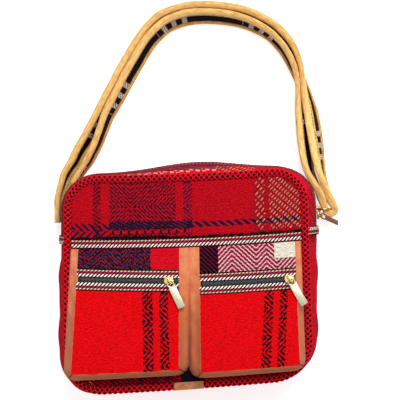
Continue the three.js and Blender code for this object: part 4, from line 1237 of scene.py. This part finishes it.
def join_pieces(pieces, name):
    bpy.ops.object.select_all(action="DESELECT")
    for piece in pieces:
        piece.select_set(True)
    bpy.context.view_layer.objects.active = pieces[0]
    bpy.ops.object.join()
    pieces[0].name = pieces[0].data.name = name
    return pieces[0]


def lay_in_frame(piece, spot, along, across):
    """Carry a piece from its local axes to a frame in the bag, in its mesh."""
    x, y = along.normalized(), across.normalized()
    z = x.cross(y).normalized()
    for vertex in piece.data.vertices:
        p = vertex.co.copy()
        vertex.co = spot + x * p.x + y * p.y + z * p.z
    piece.data.update()


def slider(side):
    """A cast slider: two plates with a neck between them, side lips, and a bail that lies along its pull."""
    name = f"{side}_zip_slider"
    body = [block(*TOP_PLATE, oval=True)] + [block(*part) for part in (LOW_PLATE, NECK, *LIPS)]
    leg = BAIL_LEG, BAIL_WIDTH, BAIL_HEIGHT + BAIL_LEG
    leg_z = SLIDER_HEIGHT + (BAIL_HEIGHT + BAIL_LEG) / 2
    middle = BAIL_REACH + BAIL_LEG / 2
    bail = [block(leg, (x, 0, leg_z), BAIL_BEVEL) for x in (middle, -middle)]
    bar_z = SLIDER_HEIGHT + BAIL_HEIGHT + BAIL_LEG / 2
    bail.append(block((2 * middle, BAIL_WIDTH, BAIL_LEG), (0, 0, bar_z), BAIL_BEVEL))
    cast, loop = join_pieces(body, name + "_body"), join_pieces(bail, name + "_bail")
    spot, along, across, _ = zip_frame(side)
    lay_in_frame(cast, spot, along, across)
    lay_in_frame(loop, spot, *pull_axes(side))
    piece = join_pieces([cast, loop], name + "_cast")
    dress(finish_mesh(piece, GOLD), name, "brass_metal", name)


def pull_eye():
    """The oval eye of a pull, round the bail."""
    eye = torus(EYE_RADIUS, EYE_WIRE, *EYE_SEGMENTS)
    with editing():
        bpy.ops.transform.resize(value=EYE_OVAL)
        bpy.ops.transform.translate(value=(EYE_REACH * MM, 0, 0))
    return eye


def pull(side):
    """A flat tab with bevelled edges and an eye round the bail."""
    facts = SLIDERS[side]
    name, length = f"{side}_zip_pull", facts["length"]
    size = length - PULL_TAB_START, facts["width"], PULL_TAB_THICK
    tab = block(size, ((length + PULL_TAB_START) / 2, 0, 0), PULL_TAB_BEVEL)
    piece = join_pieces([tab, pull_eye()], name + "_tab")
    spot, _, _, out = zip_frame(side)
    heading, hinge = pull_axes(side)
    drop = math.radians(facts["drop"])
    spot = spot + out * (SLIDER_HEIGHT + BAIL_HEIGHT / 2) * MM
    lay_in_frame(piece, spot, heading * math.cos(drop) - out * math.sin(drop), hinge)
    dress(finish_mesh(piece, facts["metal"]), name, facts["slot"], name)


def build_hardware():
    for side in SLIDERS:
        slider(side)
    for side in SLIDERS:
        pull(side)
    for node, material in (("edging_patch", WORN_TAN), ("ring_tab", MUSTARD)):
        shown = bpy.data.objects[node]
        shown.data.materials.clear()
        shown.data.materials.append(material)


# Stage, camera and light, in metres

FLOOR_SIZE, FLOOR_Z = 6.0, -0.0006
# Seen directly the paper reads a little lighter, so that only the shadows under the bag stay
PAPER_GLOW = 0.58
ROOM_LIGHT = 0.5
KEY_PLACE, KEY_AIM, KEY_SIZE, KEY_POWER = (0.35, 1.5, 2.2), (0.02, 0.09, 0), 1.3, 64
CAMERA_PLACE, CAMERA_LENS, CAMERA_SENSOR = (0.0152, 0.0942, 2.6), 193.1, 36
WHITE, PAPER_WHITE = "ffffff", "fbfbfb"


def build_stage():
    bpy.ops.mesh.primitive_plane_add(size=FLOOR_SIZE, location=(0, 0, FLOOR_Z))
    floor = bpy.context.object
    floor.name = "floor"
    material, add, shader = new_material("white paper", 0.9)
    shader.inputs["Base Color"].default_value = colour(PAPER_WHITE)
    shader.inputs["Specular IOR Level"].default_value = 0.0
    shader.inputs["Emission Color"].default_value = colour(WHITE)
    feed(shader, "Emission Strength", add("MULTIPLY", add("LightPath").outputs["Is Camera Ray"], PAPER_GLOW))
    floor.data.materials.append(material)
    world = bpy.data.worlds.new("soft room")
    bpy.context.scene.world = world
    world.use_nodes = True
    background = world.node_tree.nodes["Background"]
    background.inputs["Color"].default_value = colour(WHITE)
    background.inputs["Strength"].default_value = ROOM_LIGHT


def build_light():
    bpy.ops.object.light_add(type="AREA", location=KEY_PLACE)
    lamp = bpy.context.object
    lamp.name = "key"
    lamp.data.size = KEY_SIZE
    lamp.data.energy = KEY_POWER
    lamp.rotation_euler = (Vector(KEY_AIM) - Vector(KEY_PLACE)).to_track_quat("-Z", "Y").to_euler()


def build_camera():
    bpy.ops.object.camera_add(location=CAMERA_PLACE, rotation=(0, 0, 0))
    camera = bpy.context.object
    camera.data.sensor_width = CAMERA_SENSOR
    camera.data.lens = CAMERA_LENS
    bpy.context.scene.camera = camera
    bpy.context.scene.view_settings.view_transform = "Standard"


build_body()
build_tapes()
build_pocket("left", LEFT_STRIP_CLOTH, LEFT_FACE_CLOTH)
build_pocket("right", RIGHT_STRIP_CLOTH, RIGHT_FACE_CLOTH)
main_coil()
build_strap()
build_hardware()
build_stage()
build_light()
build_camera()
